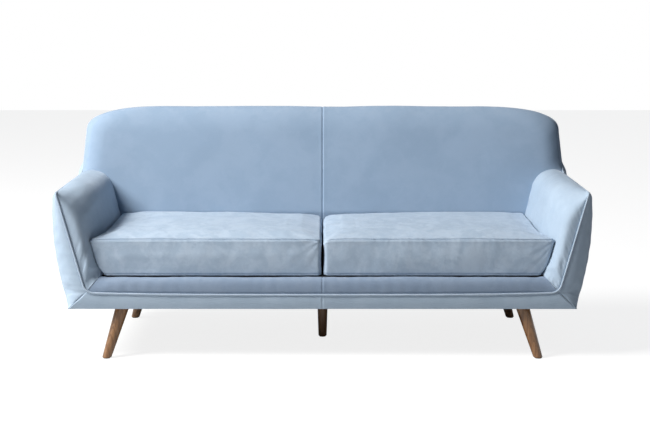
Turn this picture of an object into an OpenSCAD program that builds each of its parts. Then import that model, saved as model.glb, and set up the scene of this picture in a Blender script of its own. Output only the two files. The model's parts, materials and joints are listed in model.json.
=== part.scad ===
// Two-seater sofa with leaning padded arms, a one-piece padded back, loose box cushions and tapered legs.
// Millimetres. X runs to the right, Y to the back, Z up. The origin is on the floor under the middle.

/* [Overall] */
// Width across the outer sides
sofa_w = 1930; // [1700:10:2300]
// Depth from the front piping to the outer back
sofa_d = 830; // [780:10:900]
// Height of the piping along the top of the back
back_pipe_h = 833; // [780:1:880]
// Height of the piping along the arms
arm_h = 592; // [560:2:620]
// Height of the underside of the upholstery
underside_h = 178; // [150:2:200]
// Height of the seat deck that the cushions lie on
deck_h = 291; // [276:1:300]

/* [Front] */
// Height of the piping along the front rail
rail_pipe_h = 230; // [214:1:232]
// Corner radius of the piping between front rail and arm
pipe_corner_r = 40; // [25:1:55]
// Radius of the piping cord
pipe_r = 4; // [3:0.5:5]
// How far the arm front leans out, in degrees
arm_lean = 15.9; // [12:0.1:18]
// How far the arm tip stands behind the front
tip_set_back_d = 15; // [5:1:25]
// Depth of the rounding on top of the front rail
rail_roll_d = 45; // [35:1:55]

/* [Arms] */
// Distance of the arm piping inside the widest part of the outer side
arm_pipe_inset_w = 22; // [16:1:30]
// Width of the roll on top of the arm
arm_roll_w = 128; // [110:2:150]
// How far the roll's inner end lies below the piping
arm_roll_drop_h = 54; // [40:2:70]
// Height that the roll swells above the piping
arm_swell_h = 27; // [18:1:36]
// Width of the arm at deck height, inside the piping of the arm top
arm_foot_w = 198; // [170:2:220]
// How much slimmer the arm is at the front than at the back
arm_taper_w = 20; // [0:1:30]
// Depth of the rounding behind the arm's front edge
arm_nose_d = 266; // [200:2:300]
// Bulge of the outer side below its widest height
side_belly_w = 53; // [30:1:60]
// How far that widest height lies below the arm piping
belly_drop_h = 90; // [70:2:110]
// Depth of the rounding from the front edge to the outer side
side_wrap_d = 70; // [50:2:90]

/* [Back] */
// Distance from the rearmost line to the back's front face at the seat
back_depth = 235; // [200:5:260]
// Height where the back starts to lean
back_bend_h = 450; // [420:5:480]
// Lean of the back, in degrees
back_lean = 17; // [12:0.5:20]
// Radius of the concave piping curve between arm and back
wing_fillet_r = 85; // [70:1:100]
// Width of the rounding at the sides of the back
back_side_roll_w = 80; // [60:2:100]
// Width of the rounding along the top corners of the back
back_top_roll_w = 220; // [160:5:260]
// Height that the top roll swells above its piping
back_swell_h = 41; // [30:1:50]
// Length of the rounded top corner
back_corner_w = 280; // [220:5:320]
// Height of the rounded top corner
back_corner_h = 85; // [70:1:100]
// Distance of the top piping in front of the rearmost line
top_pipe_inset_d = 45; // [38:1:55]
// How far the rearmost line lies below the top piping
shoulder_drop_h = 35; // [25:1:50]
// Lean of the outer back, in degrees
outer_lean = 3.4; // [2:0.1:5]

/* [Cushions] */
// Thickness of a seat cushion at its front edge
cushion_t = 134; // [120:1:145]
// Rise of the cushion edge from front to back
cushion_rise_h = 13; // [0:1:20]
// Crown of the cushion top
cushion_crown_h = 20; // [10:1:28]
// Distance of the cushion front behind the front piping
cushion_set_back_d = 46; // [40:1:60]
// How far the sides draw in between the corners
cushion_draw_w = 5; // [2:0.5:8]
// Gap between the two cushions, on each side of the middle
cushion_gap_w = 1.2; // [1:0.1:3]
// Gap between a cushion and the arm
cushion_side_gap_w = 3; // [2.5:0.1:6]
// Gap behind a cushion, where its zip runs
cushion_rear_gap_d = 7; // [6:0.5:10]
// Radius of the cushion edges
cushion_edge_r = 16; // [10:1:22]

/* [Legs] */
// Distance of the front feet inside the widest part of the outer side
front_foot_inset_w = 193; // [170:1:240]
// Distance of the front feet behind the front piping
front_foot_set_back_d = 8; // [0:1:30]
// Distance of the rear feet inside the widest part of the outer side
rear_foot_inset_w = 211; // [170:2:240]
// Distance of the rear feet in front of the rearmost line
rear_foot_set_in_d = 85; // [75:1:110]
// Splay of a leg along each direction, in degrees
leg_splay = 16.8; // [8:0.1:20]
// Diameter of a leg at its top
leg_top_d = 48; // [40:1:54]
// Diameter of a leg at its foot
leg_foot_d = 31; // [26:1:36]
// Distance of the centre leg in front of the middle
centre_leg_y = 30; // [0:1:80]
// Diameter of the centre leg at its top
centre_top_d = 42; // [36:1:48]

/* [Frame and covers] */
// Thickness of the cover cloth with its lining
cover_t = 3; // [2:0.5:4]
// Thickness of the base rails
rail_t = 30; // [24:1:34]
// Height of the top of the base rails
rail_top_h = 268; // [262:1:270]
// Distance of the frame's front face behind the front piping
frame_set_back_d = 26; // [22:1:30]
// Thickness of the arm timbers
arm_timber_t = 40; // [30:1:44]
// How far the arm timbers lean out from the base to their top
timber_lean_w = 48; // [40:1:52]
// Depth of the arm's front post
arm_post_d = 40; // [30:1:50]
// Height of the arm's top rail
arm_rail_h = 40; // [30:1:45]
// Depth of the back timbers
back_timber_d = 42; // [36:1:46]
// Width of the back posts
back_post_w = 40; // [30:1:50]
// Thickness of the side and back boards
board_t = 4; // [3:0.5:6]
// Leg of the triangular corner blocks
block_leg_l = 250; // [240:1:260]
// Thickness of the leg plates
plate_t = 4; // [3:0.5:5]
// Diameter of the hanger bolts
bolt_d = 8; // [6:1:10]

/* [Hidden] */
$fn = 48;
// Gap between two soft or curved pieces that touch
fit_w = 0.3;
// Gap from the piping's centre line to the cut edge of a cover
edge_w = pipe_r + 2 * fit_w;
// How much further a cover that curves along the piping keeps from it
seam_ease_w = 0.6;
// Overrun of every cut
over_l = 5;
// How much narrower the back is where its top corner starts
wing_narrow_w = 13;
// Power of the top corner's curve
corner_power = 2.9;
// Height of the part that the legs' glides take
glide_h = 2;
// Thickness of the webbing
web_t = 3;
// Thickness of the deck pad
pad_t = 9;
// Thickness of thin cloth
cloth_t = 1.2;
// Padding between the outer side and the timbers at the base
side_pad_t = 13.5;

// Shared small functions
function mix(a, b, t) = a + (b - a) * t;
function lim(v, low, high) = min(max(v, low), high);
function rnd(t) = t <= 0 ? 0 : t >= 1 ? 1 : sqrt(1 - (1 - t) * (1 - t));
function quarter(i, n) = 1 - cos(90 * i / n);
function unit(v) = v / norm(v);

// Places that follow from the sizes
half_w = sofa_w / 2;
front_y = -sofa_d / 2 + pipe_r;
rear_y = sofa_d / 2;
frame_y = front_y + frame_set_back_d;
tip_x = half_w - arm_pipe_inset_w;
tip_y = front_y + tip_set_back_d;
foot_z = rail_pipe_h + pipe_corner_r * (1 - sin(arm_lean));
foot_x = tip_x - (arm_h - foot_z) * tan(arm_lean);
corner_x = foot_x - pipe_corner_r * cos(arm_lean);
corner_turn = 90 - arm_lean;
base_z = underside_h + cover_t + fit_w;
belly_h = arm_h - belly_drop_h;
top_pipe_y = rear_y - top_pipe_inset_d;
deck_y = front_y + rail_roll_d;
roll_x = tip_x - arm_roll_w;
roll_z = arm_h - arm_roll_drop_h;
corner_z = back_pipe_h - back_corner_h;
shoulder_h = back_pipe_h - shoulder_drop_h;
back_face_y = rear_y - back_depth;

// Surfaces that the pieces share
function back_y(z) = back_face_y + tan(back_lean) * (z > back_bend_h ? z - back_bend_h : 0);
function outer_y(z) = rear_y - max(shoulder_h - z, 0) * tan(outer_lean);
function wing_x(z) = tip_x - wing_narrow_w * pow(max(z - arm_h, 0) / (corner_z - arm_h), 2);
function post_y(z) = rear_y - (shoulder_h - z) * tan(outer_lean) - board_t - cover_t - 4 * fit_w;
function post_front_y(z) = post_y(z) - back_timber_d;

// Outline of the outer side, seen from the front
function belly_x(z) = half_w - side_belly_w * pow((z - belly_h) / (belly_h - underside_h), 2);
function side_x(z) = z > arm_h ? max(belly_x(z), edge_x(z) + edge_w + cover_t) : belly_x(z);

// Side of the back, seen from the front: the wing and its rounded top corner
function corner_share(z) = lim((z - corner_z) / back_corner_h, 0, 1);
function edge_x(z) =
    z > corner_z
        ? wing_x(corner_z) - back_corner_w * (1 - pow(1 - pow(corner_share(z), corner_power), 1 / corner_power))
        : wing_x(z);

// Front edge of the outer side: the arm's front piping, and below it the mitre seam
function front_edge_x(z) =
    z > foot_z ? foot_x + (min(z, arm_h) - foot_z) * tan(arm_lean)
        : mix(side_x(underside_h), corner_mid[0], lim((z - underside_h) / (corner_mid[2] - underside_h), 0, 1));
function front_edge_y(z) =
    z > foot_z ? mix(front_y, tip_y, (z - foot_z) / (arm_h - foot_z))
        : front_y + 2 * cover_t * pow(lim((rail_pipe_h - z) / (rail_pipe_h - underside_h), 0, 1), 2);

// Piping around the corner between front rail and arm
function corner_at(a) =
    [corner_x + pipe_corner_r * sin(a), front_y, rail_pipe_h + pipe_corner_r * (1 - cos(a))];
corner_mid = corner_at(corner_turn / 2);

// Concave piping curve between arm and back, from the arm top to the wing
fillet_share = 0.33;
fillet_y = back_face_y + fillet_share * wing_fillet_r;
fillet_turn = 90 - back_lean;
function fillet_at(a) =
    [tip_x, fillet_y + wing_fillet_r * sin(a), arm_h + wing_fillet_r * (1 - cos(a))];
fillet_end = fillet_at(fillet_turn);
wing_depth = fillet_end[1] - back_y(fillet_end[2]);

// Piping up the wing and around the top corner
function wing_at(z) = [wing_x(z), back_y(z) + wing_depth, z];
wing_top = wing_at(corner_z);
function top_corner_at(a) = [
    wing_top[0] - back_corner_w * (1 - pow(cos(a), 2 / corner_power)),
    mix(wing_top[1], top_pipe_y, sin(a)),
    corner_z + back_corner_h * pow(sin(a), 2 / corner_power)
];
top_end = top_corner_at(90);

// Half of the piping loop, from the middle of the front to the middle of the back
half_loop = concat(
    [for (i = [0:4]) [corner_x * i / 5, front_y, rail_pipe_h]],
    [for (i = [0:5]) corner_at(corner_turn * i / 5)],
    [for (i = [1:5]) [front_edge_x(mix(foot_z, arm_h - 2 * pipe_r, i / 6)),
        front_edge_y(mix(foot_z, arm_h - 2 * pipe_r, i / 6)), mix(foot_z, arm_h - 2 * pipe_r, i / 6)]],
    [for (i = [0:4]) [tip_x - 2 * pipe_r * (1 - sin(22.5 * i)) * sin(arm_lean),
        tip_y + 2 * pipe_r * (1 - cos(22.5 * i)), arm_h - 2 * pipe_r * (1 - sin(22.5 * i))]],
    [for (i = [1:5]) [tip_x, mix(tip_y, fillet_y, i / 6), arm_h]],
    [for (i = [0:6]) fillet_at(fillet_turn * i / 6)],
    [for (i = [1:3]) wing_at(mix(fillet_end[2], corner_z, i / 4))],
    [for (i = [0:9]) top_corner_at(10 * i)],
    [for (i = [0:4]) [top_end[0] * (1 - i / 5), top_end[1], top_end[2]]]
);

// A closed skin between two grids of points with the same rows and columns; on the near grid they turn outwards
module skin(near, far) {
    rows = len(near);
    cols = len(near[0]);
    n = rows * cols;
    points = [for (grid = [near, far]) for (row = grid) for (p = row) p];
    front = [for (i = [0:rows - 2]) for (j = [0:cols - 2]) each [
        [i * cols + j, i * cols + j + 1, (i + 1) * cols + j + 1],
        [i * cols + j, (i + 1) * cols + j + 1, (i + 1) * cols + j]
    ]];
    back = [for (f = front) [f[0] + n, f[2] + n, f[1] + n]];
    rim = concat(
        [for (j = [0:cols - 1]) j],
        [for (i = [1:rows - 1]) i * cols + cols - 1],
        [for (j = [cols - 2:-1:0]) (rows - 1) * cols + j],
        [for (i = [rows - 2:-1:1]) i * cols]
    );
    wall = [for (k = [0:len(rim) - 1]) let (a = rim[k], b = rim[(k + 1) % len(rim)]) each [
        [b, a, a + n],
        [b, a + n, b + n]
    ]];
    polyhedron(points, concat(front, back, wall));
}

// Outline of the arm, from its top piping over the roll to the deck, seen from the front
function bezier(p, t) =
    pow(1 - t, 3) * p[0] + 3 * t * pow(1 - t, 2) * p[1] + 3 * t * t * (1 - t) * p[2] + pow(t, 3) * p[3];
function arm_foot_x(y) =
    tip_x - arm_foot_w + 2 * arm_taper_w * pow(lim((back_face_y - y) / (back_face_y - front_y), 0, 1), 2);
function roll_points(y) = let (
    x = roll_x + arm_taper_w * lim((back_face_y - y) / (back_face_y - front_y), 0, 1) / 2
) [
    [tip_x, arm_h],
    [tip_x - arm_roll_w / 8, arm_h + arm_swell_h],
    [x + arm_roll_w / 6, arm_h + arm_swell_h],
    [x, roll_z]
];
function arm_line(t, y) =
    t < 0.5 ? bezier(roll_points(y), 2 * t)
        : mix(roll_points(y)[3], [arm_foot_x(y), deck_h + fit_w], 2 * t - 1);
function arm_normal(t, y) = let (
    d = unit(arm_line(min(t + 0.02, 1), y) - arm_line(max(t - 0.02, 0), y))
) [-d[1], d[0]];

// Front edge of the arm, from its tip to the mitre seam, and the ways from it into the cover
mitre_share = 0.88;
function edge_turn(t) = mix(corner_turn, corner_turn / 2, lim((t - mitre_share) / (1 - mitre_share), 0, 1));
function arm_edge(t) =
    t < mitre_share ? let (z = mix(arm_h, foot_z, t / mitre_share)) [front_edge_x(z), z]
        : let (p = corner_at(edge_turn(t))) [p[0], p[2]];
top_way = unit(arm_line(0.02, 0) - [tip_x, arm_h]);
function edge_way(t) = t == 0 ? top_way : [-sin(edge_turn(t)), cos(edge_turn(t))];
function nose_depth(t) = mix(arm_nose_d, rail_roll_d, pow(lim((t - 0.6) / 0.4, 0, 1), 2));

// Point of the arm's surface at a share t of its outline and a distance d behind its front, sunk by s
down_edge = [-sin(arm_lean), -cos(arm_lean)];
function arm_point(t, d, s) = let (
    g = rnd(d / nose_depth(t)),
    y0 = front_edge_y(arm_edge(t)[1]),
    start = arm_edge(t) + (edge_w + seam_ease_w) * edge_way(t) + (t == 0 ? s * down_edge : [0, 0]),
    raised = arm_line(t, y0 + d) + (edge_w + seam_ease_w) * (1 - t) * (1 - t) * top_way,
    line = raised + s * arm_normal(t, y0 + d),
    p = mix(start, line, g)
) [p[0], y0 + s * (1 - g) + d, max(p[1], t >= 1 && g >= 1 ? deck_h + fit_w : 0)];
arm_shares = [0, 0.08, 0.17, 0.26, 0.35, 0.43, 0.5, 0.6, 0.7, 0.8, 0.88, 0.94, 1];
nose_steps = 7;
long_steps = 4;
function arm_end_y(t, s) = back_y(arm_line(t, back_face_y)[1]) - 2 * fit_w - end_ease * s * tan(back_lean);
end_ease = 2.2;
function arm_grid(s) = [for (t = arm_shares) concat(
    [for (i = [0:nose_steps]) arm_point(t, nose_depth(t) * quarter(i, nose_steps), s)],
    [for (i = [1:long_steps]) let (
        d0 = nose_depth(t),
        d1 = arm_end_y(t, s) - front_edge_y(arm_edge(t)[1])
    ) arm_point(t, mix(d0, d1, i / long_steps), s)]
)];

// Leaning plane of the arm timbers, from inside to outside
function timber_x(z) =
    half_w - side_belly_w - side_pad_t + timber_lean_w * (z - base_z) / (arm_timber_top - base_z);
function clamp_arm(p) = let (z = min(p[2], arm_timber_top + fit_w)) mix([
    lim(p[0], timber_x(z) - arm_timber_t - fit_w, timber_x(z)),
    max(p[1], frame_y - fit_w),
    z
], p, give_share);
// Share of its distance to the frame that the padding's inner face keeps
give_share = 0.03;
arm_timber_top = arm_h - arm_roll_drop_h + 6 * cover_t;
function arm_foam_inner() = [for (row = arm_grid(cover_t + 2 * fit_w)) [for (p = row) clamp_arm(p)]];

// Outer side: rulings run from the piping to the bottom and rear edges
side_pipe = concat(
    [for (i = [0:3]) corner_at(mix(corner_turn / 2, corner_turn, i / 3))],
    [for (i = [1:5]) let (z = mix(foot_z, arm_h, i / 5)) [front_edge_x(z), front_edge_y(z), z]],
    [for (i = [1:4]) [tip_x, mix(tip_y, fillet_y, i / 4), arm_h]],
    [for (i = [1:4]) fillet_at(fillet_turn * i / 4)],
    [for (i = [1:2]) wing_at(mix(fillet_end[2], corner_z, i / 2))],
    [for (i = [1:4]) top_corner_at(12 * i)]
);
front_count = 8;
bottom_count = 16;
edge_count = len(side_pipe) - 1;
side_bottom_y = front_edge_y(underside_h);
rear_edge_h = shoulder_h - 2 * pipe_r;
function side_far(i) =
    i <= bottom_count
        ? [mix(side_bottom_y, outer_y(underside_h), i / bottom_count), underside_h]
        : let (z = mix(underside_h, rear_edge_h, pow((i - bottom_count) / (edge_count - bottom_count), 0.6)))
            [outer_y(z), z];
top_wrap_share = 0.45;
function side_point(i, w, s) = let (
    k = side_pipe[i],
    a = [k[1], k[2]],
    far = side_far(i),
    way = unit(far - a),
    at = mix(a + (i > bottom_count ? edge_w : 0) * way, far, w),
    edge_now = at[1] < arm_h ? front_edge_x(at[1]) : edge_x(at[1]),
    base = edge_w + seam_ease_w + (i < 4 ? mix(k[0], edge_now, min(4 * w, 1)) : edge_now),
    wrap = rnd((at[0] - front_edge_y(at[1])) / side_wrap_d),
    top = rnd((i <= front_count ? arm_h - at[1] : w * norm(far - a)) / (top_wrap_share * side_wrap_d)),
    g = wrap * top,
    turn = i > bottom_count && w >= 1 ? 2 * pipe_r : 0,
    sunk = s * sqrt(1 - g * g),
    q = at + sunk * (i <= front_count && i > 0 ? unit(way + [1, 0]) : i == 0 ? [1, 0] : way)
) [mix(base, max(side_x(at[1]), base), g) - s * g - turn, min(q[0], far[0]) - (turn > 0 ? s : 0), q[1]];
side_shares = [0, 0.012, 0.035, 0.075, 0.13, 0.22, 0.4, 0.7, 0.97, 1];
function side_grid(s) = [for (w = side_shares) [for (i = [0:edge_count]) side_point(i, w, s)]];
wadding_shares = [0.075, 0.13, 0.22, 0.4, 0.7, 0.97];
function wadding_outer() = [for (w = wadding_shares) [for (i = [4:bottom_count])
    side_point(i, w, cover_t + fit_w)]];
function side_board_x(z) = timber_x(z) + board_t + 2 * fit_w;
function wadding_inner() = [for (row = wadding_outer()) [for (p = row)
    [min(p[0] - cover_t, side_board_x(p[2])), p[1], p[2]]]];

// Back: outline from the deck over the face and the top roll to the top piping, seen from the side
face_end = 0.62;
face_edge_share = 1.3;
foam_edge_share = 1.4;
function top_points() = [
    [back_y(corner_z), corner_z],
    [back_y(corner_z) + back_swell_h * sin(back_lean) * 2, corner_z + 2 * back_swell_h],
    [top_pipe_y - top_pipe_inset_d / 3, back_pipe_h + back_swell_h],
    [top_pipe_y, back_pipe_h]
];
function back_line(t) =
    t <= face_end ? let (z = mix(deck_h + fit_w, corner_z, t / face_end)) [back_y(z), z]
        : bezier(top_points(), (t - face_end) / (1 - face_end));
function back_normal(t) = let (
    d = unit(back_line(min(t + 0.01, 1)) - back_line(max(t - 0.01, 0)))
) [d[1], -d[0]];
function fillet_front_y(z) = fillet_y + sqrt(max(pow(wing_fillet_r, 2) - pow(arm_h + wing_fillet_r - z, 2), 0));
function side_depth(z) =
    z > fillet_end[2] ? wing_depth
        : max(4 * cover_t, z > arm_h ? fillet_front_y(z) - back_y(z) : 0);
inner_side_x = timber_x(base_z) - arm_timber_t - 2 * cover_t;
function over_timber(z) = lim((z - arm_timber_top - cover_t) / (arm_h - arm_timber_top), 0, 1);
function back_edge(t) =
    t <= face_end
        ? let (z = back_line(t)[1]) [
            z > arm_h + 2 * cover_t ? wing_x(z)
                : mix(inner_side_x, tip_x, over_timber(z)),
            back_y(z) + side_depth(z),
            z
        ]
        : top_corner_at(90 * (t - face_end) / (1 - face_end));
function back_point(t, f, s) = let (
    k = back_edge(t),
    width = mix(back_side_roll_w, back_top_roll_w, lim((t - face_end) / (1 - face_end), 0, 1)),
    d = f <= 1 ? width * quarter(f, 1) : mix(width, k[0], f - 1),
    g = f >= 1 ? 1 : rnd(d / width),
    line = back_line(t) + s * back_normal(t),
    a = [k[1], k[2]],
    way = unit(line - a + [-1, 0]),
    under = s > cover_t ? foam_edge_share * edge_w * lim((t - face_end) / (1 - face_end), 0, 1) : 0,
    share = t < face_end ? face_edge_share : 1,
    sewn = t < 1 ? a + share * edge_w * way : a + [-edge_w, edge_w / 2] - s * [0, 1],
    start = sewn - [0, under],
    end = t < 1 ? line : a + [-edge_w, edge_w / 2] - s * [0, 1],
    p = mix(start, end, g)
) [k[0] - d - (s > cover_t ? s + edge_w / 2 : s) * (1 - g), p[0], p[1]];
back_shares = concat([for (i = [0:8]) face_end * [0, 0.2, 0.42, 0.56, 0.62, 0.68, 0.74, 0.86, 1][i]],
    [for (i = [1:6]) mix(face_end, 1, i / 6)]);
back_steps = concat([for (i = [0:5]) i / 5], [for (i = [1:5]) 1 + i / 5]);
function back_grid(s, middle) = [for (t = back_shares) [for (f = back_steps)
    let (p = back_point(t, f, s)) [max(p[0], middle), p[1], p[2]]]];
function clamp_back(p) = let (z = min(p[2], shoulder_h + fit_w))
    mix([p[0], max(post_front_y(z) - web_t - 2 * fit_w, p[1]), z], p, give_share);

// Grid of the whole back, both sides
function both_sides(grid) = [for (row = grid) concat(
    row,
    [for (j = [len(row) - 2:-1:0]) [-row[j][0], row[j][1], row[j][2]]]
)];

// Front rail: outline from the piping to the deck, and the mitre seams at its ends
function rail_height(d) = mix(rail_pipe_h + edge_w, deck_h, rnd(d / rail_roll_d));
function corner_turn_at(x) = asin(lim((x - corner_x) / pipe_corner_r, 0, sin(corner_turn / 2)));
function corner_rise(x) = pipe_corner_r * (1 - cos(corner_turn_at(x)));
function edge_over(x) = edge_w / cos(corner_turn_at(x));
function rail_end_x(z) =
    mix(corner_mid[0], arm_foot_x(deck_y), lim((z - corner_mid[2]) / (deck_h - corner_mid[2]), 0, 1)) - edge_w;
rail_steps = 6;
rail_shares = [-1, -0.99, -0.98, -0.97, -0.5, 0, 0.5, 0.97, 0.98, 0.99, 1];
function rail_grid(s) = [for (i = [0:rail_steps]) let (
    d = rail_roll_d * quarter(i, rail_steps),
    g = sin(90 * i / rail_steps),
    low_x = rail_end_x(rail_pipe_h) - s,
    flat = rail_height(d)
) [for (k = rail_shares) let (
    low = rail_pipe_h + corner_rise(abs(k) * low_x) + edge_over(abs(k) * low_x),
    z = mix(low, deck_h, (flat - rail_pipe_h - edge_w) / (deck_h - rail_pipe_h - edge_w))
) [k * (rail_end_x(z) - s), front_y + d + s * (1 - g), z - s * g]]];
function clamp_rail(p) = mix([p[0], max(p[1], frame_y - fit_w), min(p[2], rail_top_h + fit_w)], p, give_share);

// Front border between the piping and the underside, one half
border_steps = 5;
mitre_sink_share = 1.4;
border_shares = [0, 0.35, 0.7, 0.93, 0.965, 0.985, 1];
function border_grid(s) = [for (i = [0:border_steps]) let (
    w = i / border_steps,
    end_x = mix(corner_mid[0], side_x(underside_h), w)
) [for (k = border_shares) let (
    x = mix(fit_w, end_x - edge_w - mitre_sink_share * s, k),
    z = mix(rail_pipe_h + corner_rise(x) - edge_over(x), underside_h, w)
) [x, front_edge_y(z) + s, z]]];

// Outer back: from the top piping over the rear shoulder to the underside
turn_steps = 4;
drop_steps = 4;
function outer_back_x(i) = i <= turn_steps
    ? mix(side_pipe[edge_count][0], side_x(rear_edge_h) - 2 * pipe_r, sin(90 * i / turn_steps)) - edge_w
    : let (z = mix(rear_edge_h, underside_h, (i - turn_steps) / drop_steps)) side_x(z) - 2 * pipe_r - edge_w;
function top_height(x) = x < top_end[0] ? back_pipe_h
    : corner_z + back_corner_h * pow(1 - pow((x - top_end[0]) / back_corner_w, corner_power), 1 / corner_power);
function top_depth(x) = x < top_end[0] ? top_pipe_y
    : let (share = lim((top_height(x) - corner_z) / back_corner_h, 0, 1))
        mix(wing_top[1], top_pipe_y, pow(share, corner_power / 2));
outer_back_shares = [-1, -0.95, -0.88, -0.8, -0.7, 0, 0.7, 0.8, 0.88, 0.95, 1];
function outer_back_grid(s) = [for (i = [0:turn_steps + drop_steps]) [for (k = outer_back_shares) let (
    x = k * (outer_back_x(i) - s),
    g = i < turn_steps ? sin(90 * i / turn_steps) : 1,
    c = i < turn_steps ? cos(90 * i / turn_steps) : 0,
    xt = abs(k) * (outer_back_x(0)),
    drop = lim((i - turn_steps) / drop_steps, 0, 1),
    z = i <= turn_steps ? mix(rear_edge_h, top_height(xt), c) : mix(rear_edge_h, underside_h, drop),
    y = mix(top_depth(xt) + edge_w, outer_y(z), g)
) [x, y - s * g, z - s * c]]];

// Inner face of the arm at a depth and height, which the cushions follow
function arm_at(y, t) = arm_point(t, y - front_edge_y(arm_edge(t)[1]), 0);
function arm_x(y, z, low = 0.3, high = 1, turns = 9) = let (t = (low + high) / 2)
    turns == 0 ? arm_at(y, t)[0]
        : arm_at(y, t)[2] > z ? arm_x(y, z, t, high, turns - 1) : arm_x(y, z, low, t, turns - 1);

// Cushion: its plan runs once around, from -1 to 1 each way, and its rings climb from the base to the crown
cushion_front_y = front_y + cushion_set_back_d;
cushion_rear_y = back_face_y - cushion_rear_gap_d;
cushion_base_z = deck_h + fit_w;
cushion_w = half_w - arm_pipe_inset_w - arm_foot_w;
cushion_d = cushion_rear_y - cushion_front_y;
corner_u = 2 * cushion_edge_r / cushion_w;
corner_v = 2 * cushion_edge_r / cushion_d;
function corner_arc(su, sv, a0) = [for (i = [0:2]) let (a = a0 + 45 * i)
    [su * (1 - corner_u) + corner_u * cos(a), sv * (1 - corner_v) + corner_v * sin(a)]];
plan = concat(
    corner_arc(1, 1, 0),
    [for (i = [1:6]) [mix(1, -1, i / 7), 1]],
    corner_arc(-1, 1, 90),
    [for (i = [1:5]) [-1, mix(1, -1, i / 6)]],
    corner_arc(-1, -1, 180),
    [for (i = [1:6]) [mix(-1, 1, i / 7), -1]],
    corner_arc(1, -1, 270),
    [for (i = [1:5]) [1, mix(-1, 1, i / 6)]]
);
// Each ring: share of the plan, inset in edge radii, height in edge radii above the base
// or below the top, crown
rings = [
    [1, 0.6, 0, 0], [1, 0.2, 0.35, 0], [1, 0, 1, 0], [1, 0, 3, 0],
    [1, 0, -1, 1], [1, 0.25, -0.3, 1], [1, 0.8, 0, 1],
    [0.86, 0.8, 0, 1], [0.62, 0.8, 0, 1], [0.3, 0.8, 0, 1]
];
function edge_top(v) = cushion_base_z + cushion_t + cushion_rise_h * (v + 1) / 2;
function ring_point(ring, p, s) = let (
    draw = cushion_draw_w * (abs(p[0]) >= 0.999 ? 1 - p[1] * p[1] : p[1] <= -0.999 ? 1 - p[0] * p[0] : 0),
    inset = ring[1] * cushion_edge_r + s + (ring[2] != 0 || ring[3] > 0 ? draw : 0),
    u = p[0] * ring[0] * (1 - 2 * inset / cushion_w),
    v = p[1] * ring[0] * (1 - 2 * (inset - (p[1] >= 0.999 ? draw : 0)) / cushion_d),
    swell = cushion_crown_h * pow(max(1 - u * u, 0), 0.7) * pow(max(1 - v * v, 0), 0.7),
    z = ring[3] > 0 ? edge_top(v) + ring[2] * cushion_edge_r + swell * (ring[2] < 0 ? 0 : 1) - s
        : cushion_base_z + ring[2] * cushion_edge_r,
    y = mix(cushion_front_y, cushion_rear_y, (v + 1) / 2),
    outer = arm_x(y, lim(z, cushion_base_z, edge_top(v))) - cushion_side_gap_w,
    x = mix(cushion_gap_w, outer, (u + 1) / 2)
) [x, y, z];
function ring_grid(s) = [for (ring = rings) [for (p = plan) ring_point(ring, p, s)]];
function middle_point(s) = ring_point([0, 0, 0, 1], [0, 0], s);

// Faces between stacked rings, and the fan that closes the last ring
function ring_faces(rows, cols, n) = concat(
    [for (i = [0:rows - 2]) for (j = [0:cols - 1]) let (k = (j + 1) % cols) each [
        [n + i * cols + j, n + (i + 1) * cols + k, n + i * cols + k],
        [n + i * cols + j, n + (i + 1) * cols + j, n + (i + 1) * cols + k]
    ]],
    [for (j = [0:cols - 1]) [n + (rows - 1) * cols + j, n + rows * cols, n + (rows - 1) * cols + (j + 1) % cols]]
);
function flipped(faces) = [for (f = faces) [f[0], f[2], f[1]]];

// A hood open at its base, with a wall between two stacks of rings
module hood(outer, inner, outer_middle, inner_middle) {
    rows = len(outer);
    cols = len(plan);
    n = rows * cols + 1;
    points = concat([for (r = outer) each r], [outer_middle], [for (r = inner) each r], [inner_middle]);
    rim = [for (j = [0:cols - 1]) let (k = (j + 1) % cols) each [[j, k, k + n], [j, k + n, j + n]]];
    polyhedron(points, concat(ring_faces(rows, cols, 0), flipped(ring_faces(rows, cols, n)), rim));
}

// A closed solid of stacked rings over a flat base
module stack(grid, base_middle, top_middle) {
    rows = len(grid);
    cols = len(plan);
    points = concat([for (r = grid) each r], [top_middle, base_middle]);
    base = [for (j = [0:cols - 1]) [j, (j + 1) % cols, rows * cols + 1]];
    polyhedron(points, concat(ring_faces(rows, cols, 0), base));
}
function flat_ring(s, z) = [for (p = plan) let (q = ring_point(rings[0], p, s)) [q[0], q[1], z]];
function at_height(p, z) = [p[0], p[1], z];

// Right or left side of the sofa
module on(side) {
    if (side > 0) children();
    else mirror([1, 0, 0]) children();
}

// Colours
cloth_colour = "#a9bfd6";
pipe_colour = "#8fa3bf";
timber_colour = "#d9b98a";
walnut_colour = "#7a5236";
foam_colour = "#f2ead0";
board_colour = "#8c6f4e";
steel_colour = "#9aa0a6";
dark_colour = "#3c3f45";

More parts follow.
